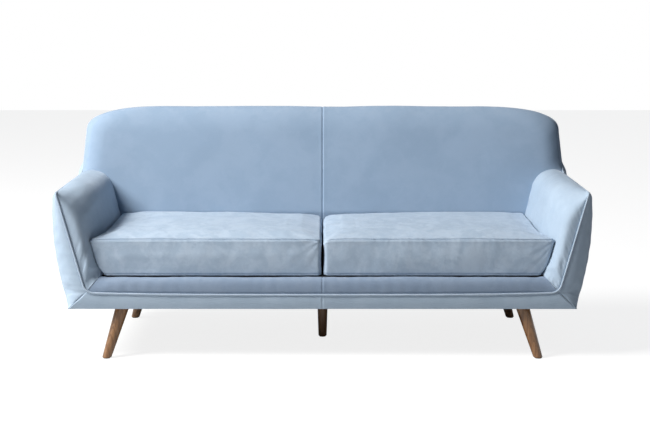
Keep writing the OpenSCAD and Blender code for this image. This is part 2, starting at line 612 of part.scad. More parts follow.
// Places of the legs: foot, slope towards the middle and height of the leg's top
leg_top_z = base_z - plate_t;
leg_lean = leg_top_z * tan(leg_splay);
front_foot_x = half_w - front_foot_inset_w;
front_foot_y = front_y + front_foot_set_back_d;
rear_foot_x = half_w - rear_foot_inset_w;
rear_foot_y = rear_y - rear_foot_set_in_d;
legs = [
    [front_foot_x, front_foot_y, -1, 1],
    [-front_foot_x, front_foot_y, 1, 1],
    [rear_foot_x, rear_foot_y, -1, -1],
    [-rear_foot_x, rear_foot_y, 1, -1]
];
leg_slant = norm([leg_lean, leg_lean]);
leg_l = norm([leg_slant, leg_top_z]);
function leg_top(leg) = [leg[0] + leg[2] * leg_lean, leg[1] + leg[3] * leg_lean, leg_top_z];
module along_leg(leg) {
    translate([leg[0], leg[1], 0])
        rotate([0, atan(leg_slant / leg_top_z), atan2(leg[3], leg[2])])
            children();
}
module leg_shape(leg) {
    color(walnut_colour) difference() {
        intersection() {
            along_leg(leg)
                translate([0, 0, -leg_foot_d])
                    cylinder(
                        h = leg_l + leg_foot_d + leg_top_d,
                        d1 = leg_foot_d - slim_d,
                        d2 = leg_top_d + slim_d
                    );
            translate([-half_w, -half_w, glide_h])
                cube([2 * half_w, 2 * half_w, leg_top_z - glide_h]);
        }
        along_leg(leg) translate([0, 0, leg_l - bolt_in_l])
            cylinder(h = 2 * bolt_in_l, d = bolt_d + fit_w);
    }
}
slim_d = 3;
bolt_in_l = 45;
bolt_up_l = 40;
screw_d = 4;
screw_l = 18;
screw_head_d = 8;
screw_head_t = 1.6;
plate_w = 80;
plate_inset_w = 10;

// Middle of each leg plate, the last one over the centre leg
plates = concat(
    [for (leg = legs) [leg_top(leg)[0], leg_top(leg)[1] + leg[3] * plate_inset_w]],
    [[0, -centre_leg_y]]
);
centre_rail_w = 60;
function screw_places(plate, i) = i < 4
    ? [for (sx = [-1, 1]) for (sy = [-1, 1]) [plate[0], plate[1]] + (plate_w / 2 - plate_inset_w) * [sx, sy]]
    : [for (sy = [-1, 1]) [plate[0], plate[1] + sy * (plate_w / 2 - plate_inset_w)]];
module each_screw() {
    for (i = [0:4])
        for (p = screw_places(plates[i], i))
            translate([p[0], p[1], 0]) children();
}

// Bores for the bolts and the screws
module bores(grow) {
    for (leg = legs)
        along_leg(leg) translate([0, 0, leg_l - bolt_in_l])
            cylinder(h = bolt_in_l + bolt_up_l, d = bolt_d + grow);
    translate([0, -centre_leg_y, leg_top_z - bolt_in_l])
        cylinder(h = bolt_in_l + bolt_up_l, d = bolt_d + grow);
}
module screw_bores() {
    each_screw() translate([0, 0, leg_top_z - over_l])
        cylinder(h = over_l + plate_t + screw_l + fit_w, d = screw_d + fit_w);
}

// Base frame
rail_x = timber_x(base_z);
side_rail_x = rail_x - rail_t;
rear_rail_y = post_y(rail_top_h) - 2 * cover_t;
rail_h = rail_top_h - base_z;
module base_front_rail() {
    color(timber_colour) difference() {
        translate([-rail_x, frame_y, base_z]) cube([2 * rail_x, rail_t, rail_h]);
        bores(2 * fit_w);
        screw_bores();
    }
}
module base_rear_rail() {
    color(timber_colour) difference() {
        translate([-rail_x, rear_rail_y - rail_t, base_z]) cube([2 * rail_x, rail_t, rail_h]);
        bores(2 * fit_w);
    }
}
inner_d = rear_rail_y - 2 * rail_t - frame_y;
module base_side_rails() {
    color(timber_colour)
        for (side = [-1, 1])
            on(side) translate([side_rail_x, frame_y + rail_t, base_z]) cube([rail_t, inner_d, rail_h]);
}
module base_centre_rail() {
    color(timber_colour) difference() {
        translate([-centre_rail_w / 2, frame_y + rail_t, base_z]) cube([centre_rail_w, inner_d, rail_h]);
        bores(2 * fit_w);
        screw_bores();
    }
}
module corner_blocks() {
    color(timber_colour) difference() {
        for (side = [-1, 1]) on(side) {
            translate([side_rail_x, frame_y + rail_t, base_z]) linear_extrude(rail_h)
                polygon([[0, 0], [0, block_leg_l], [-block_leg_l, 0]]);
            translate([side_rail_x, rear_rail_y - rail_t, base_z]) linear_extrude(rail_h)
                polygon([[0, 0], [-block_leg_l, 0], [0, -block_leg_l]]);
        }
        bores(2 * fit_w);
        screw_bores();
    }
}

// Arm timbers in their leaning plane
module arm_slice(y0, y1, z0, z1) {
    color(timber_colour)
        translate([0, y1, 0]) rotate([90, 0, 0]) linear_extrude(y1 - y0) polygon([
            [timber_x(z0) - arm_timber_t, z0],
            [timber_x(z0), z0],
            [timber_x(z1), z1],
            [timber_x(z1) - arm_timber_t, z1]
        ]);
}
post_set_back_d = 8;
post_start_y = frame_y + post_set_back_d;
module arm_front_post(side) {
    on(side) arm_slice(post_start_y, post_start_y + arm_post_d, rail_top_h, arm_timber_top - arm_rail_h);
}
module arm_front_post_left() { arm_front_post(-1); }
module arm_front_post_right() { arm_front_post(1); }
arm_rail_end_y = post_front_y(arm_timber_top) + back_timber_d / 2;
module arm_top_rail(side) {
    on(side) arm_slice(frame_y + arm_post_d, arm_rail_end_y, arm_timber_top - arm_rail_h, arm_timber_top);
}
module arm_top_rail_left() { arm_top_rail(-1); }
module arm_top_rail_right() { arm_top_rail(1); }

// Back timbers, leaning with the outer back
module back_slice(x0, x1, z0, z1) {
    color(timber_colour)
        translate([x0, 0, 0]) rotate([90, 0, 90]) linear_extrude(x1 - x0) polygon([
            [post_front_y(z0), z0],
            [post_y(z0), z0],
            [post_y(z1), z1],
            [post_front_y(z1), z1]
        ]);
}
post_x = timber_x(arm_timber_top - arm_rail_h) - arm_timber_t;
back_rail_h = 50;
lower_rail_gap_h = 20;
lower_rail_z = deck_h + lower_rail_gap_h;
lower_rail_h = 40;
module back_post(side) {
    on(side) back_slice(post_x - back_post_w, post_x, rail_top_h, shoulder_h);
}
module back_post_left() { back_post(-1); }
module back_post_right() { back_post(1); }
module back_post_centre() {
    back_slice(-back_post_w / 2, back_post_w / 2, rail_top_h, shoulder_h - back_rail_h);
}
module back_top_rail() {
    back_slice(-post_x + back_post_w, post_x - back_post_w, shoulder_h - back_rail_h, shoulder_h);
}
module back_lower_rail() {
    for (side = [-1, 1])
        on(side) back_slice(back_post_w / 2, post_x - back_post_w, lower_rail_z, lower_rail_z + lower_rail_h);
}

// Deck: webbing strips, pad and cloth
deck_x = side_rail_x + rail_t / 2;
deck_end_y = rear_rail_y - rail_t / 2;
web_w = 60;
web_count = 8;
web_rows = 5;
deck_front_y = deck_y + fit_w;
module seat_webbing() {
    color(dark_colour) union() {
        for (i = [0:web_count - 1])
            translate([mix(-deck_x, deck_x - web_w, (i + 0.5) / web_count), deck_front_y, rail_top_h])
                cube([web_w, deck_end_y - deck_front_y, web_t]);
        for (i = [0:web_rows - 1])
            translate([-deck_x, mix(deck_front_y, deck_end_y - web_w, (i + 0.5) / web_rows), rail_top_h])
                cube([2 * deck_x, web_w, web_t]);
    }
}
pad_z = rail_top_h + web_t + fit_w;
cloth_z = deck_h - cloth_t;
post_gap_w = over_l;
module deck_layer(z, t) {
    difference() {
        translate([-deck_x, deck_front_y, z]) cube([2 * deck_x, deck_end_y - deck_front_y, t]);
        for (x = [-post_x, -back_post_w / 2, post_x - back_post_w])
            translate([x - post_gap_w, post_front_y(rail_top_h) - fit_w, z - over_l])
                cube([back_post_w + 2 * post_gap_w, rear_y, t + 2 * over_l]);
        for (side = [-1, 1])
            on(side) translate([timber_x(rail_top_h) - arm_timber_t - post_gap_w, frame_y, z - over_l])
                cube([half_w, post_set_back_d + arm_post_d + post_gap_w, t + 2 * over_l]);
    }
}
module deck_pad() { color(foam_colour) deck_layer(pad_z, cloth_z - fit_w - pad_z); }
module deck_cover() { color(dark_colour) deck_layer(cloth_z, cloth_t); }
module dust_cover() {
    color(dark_colour) difference() {
        translate([-side_rail_x, frame_y + rail_t / 2, base_z - cloth_t])
            cube([2 * side_rail_x, inner_d + rail_t, cloth_t]);
        for (p = plates)
            translate([p[0] - plate_w / 2 - fit_w, p[1] - plate_w / 2 - fit_w, base_z - over_l])
                cube([plate_w + 2 * fit_w, plate_w + 2 * fit_w, 2 * over_l]);
    }
}
back_web_count = 4;
back_web_start = lower_rail_z + lower_rail_h;
back_web_reach = shoulder_h - back_rail_h - back_web_start;
module back_webbing() {
    color(dark_colour)
        for (i = [0:back_web_count - 1]) let (
            z0 = back_web_start + (i + 0.4) * back_web_reach / back_web_count,
            z1 = z0 + web_w
        )
            translate([back_post_w - post_x, 0, 0]) rotate([90, 0, 90])
                linear_extrude(2 * (post_x - back_post_w)) polygon([
                [post_front_y(z0) - fit_w - web_t, z0],
                [post_front_y(z0) - fit_w, z0],
                [post_front_y(z1) - fit_w, z1],
                [post_front_y(z1) - fit_w - web_t, z1]
            ]);
}

// Padding and covers
module arm_foam_left() { on(-1) arm_foam_right(); }
module arm_foam_right() { color(foam_colour) skin(arm_foam_inner(), arm_grid(cover_t + 2 * fit_w)); }
foam_grid = both_sides(back_grid(cover_t + 2 * fit_w, 0));
module back_foam() {
    color(foam_colour) skin(foam_grid, [for (row = foam_grid) [for (p = row) clamp_back(p)]]);
}
module rail_foam() {
    grid = rail_grid(cover_t + fit_w);
    color(foam_colour) skin([for (row = grid) [for (p = row) clamp_rail(p)]], grid);
}
module arm_cover_left() { on(-1) arm_cover_right(); }
module arm_cover_right() { color(cloth_colour) skin(arm_grid(cover_t), arm_grid(0)); }
module back_cover_left() { on(-1) back_cover_right(); }
module back_cover_right() { color(cloth_colour) skin(back_grid(0, fit_w), back_grid(cover_t, fit_w)); }
module rail_cover() { color(cloth_colour) skin(rail_grid(cover_t), rail_grid(0)); }
module side_cover_left() { on(-1) side_cover_right(); }
module side_cover_right() { color(cloth_colour) skin(side_grid(0), side_grid(cover_t)); }
module side_wadding_left() { on(-1) side_wadding_right(); }
module side_wadding_right() { color(foam_colour) skin(wadding_outer(), wadding_inner()); }
module side_board(side) {
    y0 = frame_y + 3 * over_l;
    y1 = post_y(base_z) - fit_w;
    color(board_colour) on(side)
        translate([fit_w, y1, 0]) rotate([90, 0, 0]) linear_extrude(y1 - y0) polygon([
            [timber_x(base_z), base_z],
            [timber_x(base_z) + board_t, base_z],
            [timber_x(arm_timber_top) + board_t, arm_timber_top],
            [timber_x(arm_timber_top), arm_timber_top]
        ]);
}
module side_board_left() { side_board(-1); }
module side_board_right() { side_board(1); }
board_top_z = rear_edge_h - over_l;
module back_board() {
    color(board_colour)
        translate([-post_x, fit_w, 0]) rotate([90, 0, 90]) linear_extrude(2 * post_x) polygon([
            [post_y(base_z), base_z],
            [post_y(base_z) + board_t, base_z],
            [post_y(board_top_z) + board_t, board_top_z],
            [post_y(board_top_z), board_top_z]
        ]);
}
module outer_back_cover() { color(cloth_colour) skin(outer_back_grid(cover_t), outer_back_grid(0)); }
module front_border_left() { on(-1) front_border_right(); }
module front_border_right() { color(cloth_colour) skin(border_grid(0), border_grid(cover_t)); }

// Piping: one loop of cord in cloth
pipe_sides = 6;
loop = concat(half_loop, [for (i = [len(half_loop) - 1:-1:1]) let (p = half_loop[i]) [-p[0], p[1], p[2]]]);
pipe_hub = [0, 0, belly_h];
module piping() {
    n = len(loop);
    points = [for (i = [0:n - 1]) let (
        way = unit(loop[(i + 1) % n] - loop[(i + n - 1) % n]),
        u = unit(cross(way, loop[i] - pipe_hub)),
        v = cross(u, way)
    ) for (k = [0:pipe_sides - 1]) let (a = 360 * k / pipe_sides)
        loop[i] + pipe_r * (cos(a) * u + sin(a) * v)];
    faces = [for (i = [0:n - 1]) for (k = [0:pipe_sides - 1]) let (
        a = i * pipe_sides,
        b = ((i + 1) % n) * pipe_sides,
        m = (k + 1) % pipe_sides
    ) each [[a + k, a + m, b + m], [a + k, b + m, b + k]]];
    color(pipe_colour) polyhedron(points, faces);
}

// Legs, their plates and fasteners
module front_leg_left() { leg_shape(legs[1]); }
module front_leg_right() { leg_shape(legs[0]); }
module rear_leg_left() { leg_shape(legs[3]); }
module rear_leg_right() { leg_shape(legs[2]); }
module centre_leg() {
    color(walnut_colour) difference() {
        translate([0, -centre_leg_y, glide_h])
            cylinder(h = leg_top_z - glide_h, d1 = leg_foot_d, d2 = centre_top_d);
        translate([0, -centre_leg_y, leg_top_z - bolt_in_l])
            cylinder(h = 2 * bolt_in_l, d = bolt_d + fit_w);
    }
}
module leg_plates() {
    color(steel_colour) difference() {
        for (i = [0:4])
            let (w = i < 4 ? plate_w : centre_rail_w)
                translate([plates[i][0] - w / 2, plates[i][1] - plate_w / 2, leg_top_z])
                    cube([w, plate_w, plate_t]);
        bores(2 * fit_w);
        screw_bores();
    }
}
module hanger_bolts() {
    color(steel_colour) bores(0);
}
module plate_screws() {
    color(steel_colour) each_screw() union() {
        translate([0, 0, leg_top_z - screw_head_t]) cylinder(h = screw_head_t, d = screw_head_d);
        translate([0, 0, leg_top_z - screw_head_t]) cylinder(h = screw_head_t + plate_t + screw_l, d = screw_d);
    }
}
glide_d = 24;
module foot_glides() {
    color(dark_colour) {
        for (leg = legs) translate([leg[0], leg[1], 0]) cylinder(h = glide_h, d = glide_d);
        translate([0, -centre_leg_y, 0]) cylinder(h = glide_h, d = glide_d);
    }
}

// Seat cushions: cover, base panel, core and zip
module cushion_cover_right() {
    color(cloth_colour) hood(ring_grid(0), ring_grid(cover_t), middle_point(0), middle_point(cover_t));
}
module cushion_cover_left() { on(-1) cushion_cover_right(); }
base_sunk = cover_t + fit_w;
function base_rings() = [flat_ring(base_sunk, cushion_base_z), flat_ring(base_sunk, cushion_base_z + cloth_t)];
base_low = at_height(middle_point(0), cushion_base_z);
base_high = at_height(middle_point(0), cushion_base_z + cloth_t);
module cushion_base_right() { color(cloth_colour) stack(base_rings(), base_low, base_high); }
module cushion_base_left() { on(-1) cushion_base_right(); }
core_z = cushion_base_z + cloth_t + fit_w;
function core_rings() = [for (r = ring_grid(base_sunk)) [for (p = r) at_height(p, max(p[2], core_z))]];
core_low = at_height(middle_point(0), core_z);
core_high = middle_point(base_sunk);
module cushion_core_right() { color(foam_colour) stack(core_rings(), core_low, core_high); }
module cushion_core_left() { on(-1) cushion_core_right(); }
zip_x = 150;
zip_l = 480;
zip_h = 24;
zip_z = cushion_base_z + cushion_t / 2;
slider_l = 14;
slider_h = 10;
slider_t = 2.6;
tab_l = 26;
tab_w = 7;
module zip_tape(side) {
    color(dark_colour) on(side)
        translate([zip_x, cushion_rear_y + fit_w, zip_z - zip_h / 2]) cube([zip_l, cloth_t, zip_h]);
}
module zip_tape_left() { zip_tape(-1); }
module zip_tape_right() { zip_tape(1); }
module zip_slider(side) {
    color(steel_colour) on(side) translate([zip_x, cushion_rear_y + cloth_t + 2 * fit_w, zip_z]) union() {
        translate([0, 0, -slider_h / 2]) cube([slider_l, slider_t, slider_h]);
        translate([(slider_l - tab_w) / 2, slider_t / 3, -tab_l]) cube([tab_w, slider_t / 3, tab_l]);
    }
}
module zip_slider_left() { zip_slider(-1); }
module zip_slider_right() { zip_slider(1); }

// The whole sofa, or one of its pieces
base_front_rail();
base_rear_rail();
base_side_rails();
base_centre_rail();
corner_blocks();
arm_front_post_left();
arm_front_post_right();
arm_top_rail_left();
arm_top_rail_right();
back_post_left();
back_post_right();
back_post_centre();
back_top_rail();
back_lower_rail();
seat_webbing();
back_webbing();
deck_pad();
deck_cover();
dust_cover();
arm_foam_left();
arm_foam_right();
back_foam();
rail_foam();
arm_cover_left();
arm_cover_right();
back_cover_left();
back_cover_right();
rail_cover();
side_board_left();
side_board_right();
side_wadding_left();
side_wadding_right();
side_cover_left();
side_cover_right();
back_board();
outer_back_cover();
front_border_left();
front_border_right();
piping();
front_leg_left();
front_leg_right();
rear_leg_left();
rear_leg_right();
centre_leg();
leg_plates();
hanger_bolts();
plate_screws();
foot_glides();
cushion_cover_left();
cushion_cover_right();
cushion_base_left();
cushion_base_right();
cushion_core_left();
cushion_core_right();
zip_tape_left();
zip_tape_right();
zip_slider_left();
zip_slider_right();
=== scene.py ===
# %% [markdown]
# A two-seater sofa with leaning padded arms
# The wooden and steel parts of this sofa come from a imported CAD model, in metres.
# Here the soft pieces get their real look: a napped cover over foam, welt piping,
# two loose cushions, and legs of walnut. We load the frame first.

# %% Load the frame
import bpy
import json
import math
import numpy as np
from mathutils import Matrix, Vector
from mathutils.kdtree import KDTree


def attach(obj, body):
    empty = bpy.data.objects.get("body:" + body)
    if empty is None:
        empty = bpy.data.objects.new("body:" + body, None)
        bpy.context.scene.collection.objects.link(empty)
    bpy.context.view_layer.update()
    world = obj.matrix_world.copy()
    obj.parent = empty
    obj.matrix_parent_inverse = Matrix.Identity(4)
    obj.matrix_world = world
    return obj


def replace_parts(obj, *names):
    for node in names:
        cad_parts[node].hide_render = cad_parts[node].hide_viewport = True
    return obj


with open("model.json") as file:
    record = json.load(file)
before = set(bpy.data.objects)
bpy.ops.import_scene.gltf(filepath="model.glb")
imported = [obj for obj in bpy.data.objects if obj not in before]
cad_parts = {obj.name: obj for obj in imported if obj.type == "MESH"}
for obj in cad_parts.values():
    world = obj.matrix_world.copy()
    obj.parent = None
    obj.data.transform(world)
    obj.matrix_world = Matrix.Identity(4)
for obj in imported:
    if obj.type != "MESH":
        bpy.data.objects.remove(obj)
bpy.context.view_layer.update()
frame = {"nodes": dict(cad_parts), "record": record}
nodes = frame["nodes"]

# %% [markdown]
# Sizes
# Every soft surface on this sofa hangs between a few lines: the piping, the deck
# and the outer edges. We write those lines down once, in metres, so that each
# piece can be worked out from them as an upholsterer works from a pattern.

# %% Sizes of the sofa
half_w = 0.965
front_y = -0.411
rear_y = 0.415
underside_h = 0.178
deck_h = 0.291
arm_h = 0.592
back_pipe_h = 0.833
rail_pipe_h = 0.230
pipe_r = 0.004
arm_lean = math.radians(15.9)
back_lean = math.radians(17)
outer_lean = math.radians(3.4)
shoulder_h = 0.798
print("width", 2 * half_w, "arm height", arm_h)

# %% Small helpers for curves
def mix(a, b, t):
    """The value at a share t of the way from a to b."""
    return a + (b - a) * t

def lim(v, low, high):
    return np.minimum(np.maximum(v, low), high)

def rnd(t):
    """Height of a quarter circle at a share t of its width."""
    t = lim(t, 0, 1)
    return np.sqrt(1 - (1 - t) ** 2)

def ease(t):
    """From 0 to 1 with a soft start and a soft end."""
    t = lim(t, 0, 1)
    return t * t * (3 - 2 * t)

def quarter(n):
    """Shares from 0 to 1 that are close together at the start."""
    return 1 - np.cos(np.linspace(0, math.pi / 2, n))

def fade(distance, reach):
    """1 at a seam, and about a third of that a reach away from it."""
    return np.exp(-distance / reach)

def line_at(distance, width):
    """1 on a sewn line, and next to nothing two widths away from it."""
    return np.exp(-(distance / width) ** 2)

# %% Places that follow from the sizes
tip_x = half_w - 0.022
tip_y = front_y + 0.015
pipe_corner_r = 0.040
corner_lift = 0.007
foot_z = rail_pipe_h + corner_lift + pipe_corner_r * (1 - math.sin(arm_lean))
foot_x = tip_x - (arm_h - foot_z) * math.tan(arm_lean)
corner_x = foot_x - pipe_corner_r * math.cos(arm_lean)
corner_turn = math.pi / 2 - arm_lean
belly_h = arm_h - 0.090
top_pipe_y = rear_y - 0.045
deck_y = front_y + 0.045
corner_h, corner_w, corner_power = 0.085, 0.280, 2.9
corner_z = back_pipe_h - corner_h
back_face_y = rear_y - 0.235
print("arm tip", tip_x, tip_y, arm_h)

# %% Surfaces that the pieces share
upright_h, drawn_in = 0.450, 0.053

def back_y(z):
    """Face of the back: upright behind the cushions, leaning above them."""
    return back_face_y + math.tan(back_lean) * np.maximum(z - upright_h, 0)

def outer_y(z):
    return rear_y - np.maximum(shoulder_h - z, 0) * math.tan(outer_lean)

def wing_x(z):
    """Side of the back above the arm, which narrows a little as it rises."""
    share = np.maximum(z - arm_h, 0) / (corner_z - arm_h)
    return tip_x - 0.011 * share - 0.002 * share ** 2

def edge_x(z):
    """The wing, and above it the back's round top corner."""
    share = lim((z - corner_z) / corner_h, 0, 1)
    round_top = wing_x(corner_z) - corner_w * (1 - (1 - share ** corner_power) ** (1 / corner_power))
    return np.where(z > corner_z, round_top, wing_x(z))

def side_x(z):
    """Outer side: fullest below the arm, drawn in towards the underside and the wings."""
    belly = half_w - drawn_in * ((z - belly_h) / (belly_h - underside_h)) ** 2
    return np.where(z > arm_h, mix(belly, edge_x(z) + 2 * pipe_r, ease((z - arm_h) / 0.12)), belly)

# %% [markdown]
# The piping
# Piping is a cord wrapped in a strip of the cover and sewn into the seams. On this
# sofa it is one long loop: along the front rail, up the front edge of each arm, back
# along the arm tops, up the wings and over the top corners. A loop like that is a
# path, so we write the path first, and all the covers will be cut to it.

# %% Corner and front edge of the piping
def column(*parts):
    """One point for each set of x, y and z."""
    return np.stack(np.broadcast_arrays(*parts), axis=-1).astype(float)

def corner_at(a):
    """Lower front corner of the piping, at a turn of a from level."""
    return column(corner_x + pipe_corner_r * np.sin(a), front_y,
                  rail_pipe_h + corner_lift + pipe_corner_r * (1 - np.cos(a)))

corner_mid = corner_at(corner_turn / 2)

def lift_at(x):
    """The front piping climbs a little from the middle to its corners."""
    return corner_lift * lim(np.abs(x) / corner_x, 0, 1) ** 4

corner_in, corner_back = 0.006, 0.006
bottom_corner_x = side_x(underside_h) - corner_in

def front_edge_x(z):
    """Front edge at a height: up the arm's piping, and down the mitre seam below it."""
    low = mix(bottom_corner_x, corner_mid[0], lim((z - underside_h) / (corner_mid[2] - underside_h), 0, 1))
    return np.where(z > foot_z, foot_x + (np.minimum(z, arm_h) - foot_z) * math.tan(arm_lean), low)

def front_edge_y(z):
    low = front_y + corner_back * lim((rail_pipe_h - z) / (rail_pipe_h - underside_h), 0, 1) ** 2
    return np.where(z > foot_z, mix(front_y, tip_y, (z - foot_z) / (arm_h - foot_z)), low)

print("lower corner", corner_mid.round(3), "and below it", round(float(bottom_corner_x), 3))

# %% Wings and top corners of the piping
fillet_r = 0.085
fillet_y = back_face_y + 0.33 * fillet_r
fillet_turn = math.pi / 2 - back_lean

def fillet_at(a):
    """Where the piping turns from the top of the arm up to the wing."""
    z = arm_h + fillet_r * (1 - np.cos(a))
    return column(wing_x(z), fillet_y + fillet_r * np.sin(a), z)

fillet_end = fillet_at(fillet_turn)
wing_depth = fillet_end[1] - back_y(fillet_end[2])

def wing_at(z):
    return column(wing_x(z), back_y(z) + wing_depth, z)

wing_top = wing_at(corner_z)

def top_corner_at(a):
    """Round top corner of the back, from the wing (0) to its top (a quarter turn)."""
    s, c = np.sin(a), np.maximum(np.cos(a), 0)
    return column(wing_top[0] - corner_w * (1 - c ** (2 / corner_power)),
                  mix(wing_top[1], top_pipe_y, s), corner_z + corner_h * s ** (2 / corner_power))

top_end = top_corner_at(math.pi / 2)
print("wing from", fillet_end.round(3), "to", wing_top.round(3))

# %% Whole loop of the piping
def half_loop():
    """Right half of the loop, from the middle of the front to the middle of the back."""
    bend = 2 * pipe_r
    up = np.linspace(foot_z, arm_h - bend, 40)[1:-1]
    tip = np.linspace(0, math.pi / 2, 8)
    along_rail = np.linspace(0, corner_x, 60)[:-1]
    return np.concatenate([
        column(along_rail, front_y, rail_pipe_h + lift_at(along_rail)),
        corner_at(np.linspace(0, corner_turn, 18)),
        column(front_edge_x(up), front_edge_y(up), up),
        column(tip_x - bend * (1 - np.sin(tip)) * math.sin(arm_lean),
               tip_y + bend * (1 - np.cos(tip)), arm_h - bend * (1 - np.sin(tip))),
        column(tip_x, np.linspace(tip_y + bend, fillet_y, 50)[1:-1], arm_h),
        fillet_at(np.linspace(0, fillet_turn, 22)),
        wing_at(np.linspace(fillet_end[2], corner_z, 16)[1:-1]),
        top_corner_at(np.linspace(0, math.pi / 2, 70)),
        column(np.linspace(top_end[0], 0, 40)[1:], top_end[1], top_end[2])])

pipe_path = half_loop()
pipe_path = np.concatenate([pipe_path, (pipe_path * [-1, 1, 1])[-2:0:-1]])
print("piping", round(float(np.linalg.norm(np.diff(pipe_path, axis=0), axis=1).sum()), 3), "m")

# %% [markdown]
# Turning a pattern into a mesh
# Each cover is a rectangle of points, rows by columns, that follows a formula. Such a
# grid gives clean quads, needs no sculpting, and can be made as fine as the folds
# need. The helpers here make the mesh, find which way is outwards and add small
# folds along that direction.

# %% Directions and unevenness of a grid
def normals(grid, away_from):
    """Unit normals of a grid of points, pointing away from a point inside the piece."""
    n = np.cross(np.gradient(grid, axis=0), np.gradient(grid, axis=1))
    n /= np.maximum(np.linalg.norm(n, axis=-1, keepdims=True), 1e-9)
    out = np.sign(((grid - away_from) * n).sum())
    return n * (out if out else 1)

def waves(points, size, height, seed, count=7):
    """Smooth unevenness: humps of a size and a height, both in metres."""
    rng = np.random.default_rng(seed)
    total = 0
    for _ in range(count):
        way = rng.normal(size=3)
        way *= 2 * math.pi / (size * rng.uniform(0.7, 1.5) * np.linalg.norm(way))
        total = total + np.sin(points @ way + rng.uniform(0, 2 * math.pi))
    return height * (total / math.sqrt(count))

def pushed(grid, away_from, offset):
    """The grid with each point moved outwards by its offset."""
    return grid + normals(grid, away_from) * offset[..., None]

# %% From a grid to a mesh
def mesh_piece(name, points, faces, material):
    mesh = bpy.data.meshes.new(name)
    mesh.from_pydata([tuple(p) for p in points], [], [tuple(f) for f in faces])
    mesh.polygons.foreach_set("use_smooth", [True] * len(mesh.polygons))
    mesh.materials.append(material)
    piece = bpy.data.objects.new(name, mesh)
    bpy.context.scene.collection.objects.link(piece)
    return piece

def grid_faces(rows, cols, closed=False):
    """Faces between the rows of a grid; closed also joins the last column to the first."""
    i, j = np.meshgrid(np.arange(rows - 1), np.arange(cols if closed else cols - 1), indexing="ij")
    k = (j + 1) % cols
    corners = [i * cols + j, i * cols + k, (i + 1) * cols + k, (i + 1) * cols + j]
    return np.stack(corners, axis=-1).reshape(-1, 4)

def cover_piece(name, grid, away_from, material, thick=0.003):
    """A cover of some thickness, laid inwards from a grid of points on its face."""
    rows, cols = grid.shape[:2]
    faces = grid_faces(rows, cols)
    n = np.cross(np.gradient(grid, axis=0), np.gradient(grid, axis=1))
    if ((grid - away_from) * n).sum() > 0:
        faces = faces[:, ::-1]
    piece = mesh_piece(name, grid.reshape(-1, 3), faces, material)
    shell = piece.modifiers.new("thickness", "SOLIDIFY")
    shell.thickness = thick
    shell.offset = -1
    return piece

def capped_faces(rows, cols):
    """Faces of a stack of rings; the two points after the rings close its first and last ring."""
    count, last = rows * cols, (rows - 1) * cols
    faces = list(grid_faces(rows, cols, closed=True))
    faces += [(count, (k + 1) % cols, k) for k in range(cols)]
    faces += [(count + 1, last + k, last + (k + 1) % cols) for k in range(cols)]
    return faces

# %% Left and right
side_word = {1: "right", -1: "left"}

def on_side(grid, side):
    """A grid made for the right side (1); for the left side (-1) it is mirrored."""
    return grid if side > 0 else grid[::-1] * np.array([-1, 1, 1])

def show(name, grid):
    flat = grid.reshape(-1, 3)
    print(name, grid.shape, "from", flat.min(axis=0).round(3), "to", flat.max(axis=0).round(3))

# %% [markdown]
# Finishes shared by several materials
# The cover is a short napped cloth. Its nap lies this way and that, so it shows pale
# and dark patches; it also has a fine fibre and picks up a little dust and rubbing.
# Each effect is a node group with its own inputs, built once and used by every
# material that needs it, and it gives out only colours, masks and heights.

# %% Helper that makes a node group
def node_group(name, inputs, outputs):
    """An empty node group; inputs and outputs are (name, kind, default) or (name, kind)."""
    group = bpy.data.node_groups.new(name, "ShaderNodeTree")
    for label, kind, value in inputs:
        socket = group.interface.new_socket(label, in_out="INPUT", socket_type="NodeSocket" + kind)
        socket.default_value = value
    for label, kind in outputs:
        group.interface.new_socket(label, in_out="OUTPUT", socket_type="NodeSocket" + kind)
    return group, group.nodes.new("NodeGroupInput"), group.nodes.new("NodeGroupOutput")

def add(tree, kind, settings=None, **inputs):
    """A node with its sockets linked or set; _0 and _1 pick a socket by place, other names by label."""
    made = tree.nodes.new("ShaderNode" + kind)
    for key, value in (settings or {}).items():
        setattr(made, key, value)
    for label, value in inputs.items():
        socket = made.inputs[int(label[1:])] if label[1:].isdigit() else made.inputs[label.replace("_", " ")]
        if isinstance(value, bpy.types.NodeSocket):
            tree.links.new(value, socket)
        else:
            socket.default_value = value
    return made

def math_node(tree, operation, a, b=0.0):
    return add(tree, "Math", {"operation": operation}, _0=a, _1=b).outputs[0]

def mix_colour(tree, share, a, b, blend="MIX"):
    made = tree.nodes.new("ShaderNodeMix")
    made.data_type, made.blend_type = "RGBA", blend
    for socket, value in ((made.inputs[0], share), (made.inputs[6], a), (made.inputs[7], b)):
        if isinstance(value, bpy.types.NodeSocket):
            tree.links.new(value, socket)
        else:
            socket.default_value = value
    return made.outputs[2]

def noise(tree, vector, scale, detail=3.0, rough=0.55, distortion=0.0):
    return add(tree, "TexNoise", Vector=vector, Scale=scale, Detail=detail,
               Roughness=rough, Distortion=distortion).outputs["Fac"]

def between(tree, value, low, high, to_low=0.0, to_high=1.0):
    return add(tree, "MapRange", {"interpolation_type": "SMOOTHSTEP"}, _0=value, _1=low, _2=high,
               _3=to_low, _4=to_high).outputs[0]

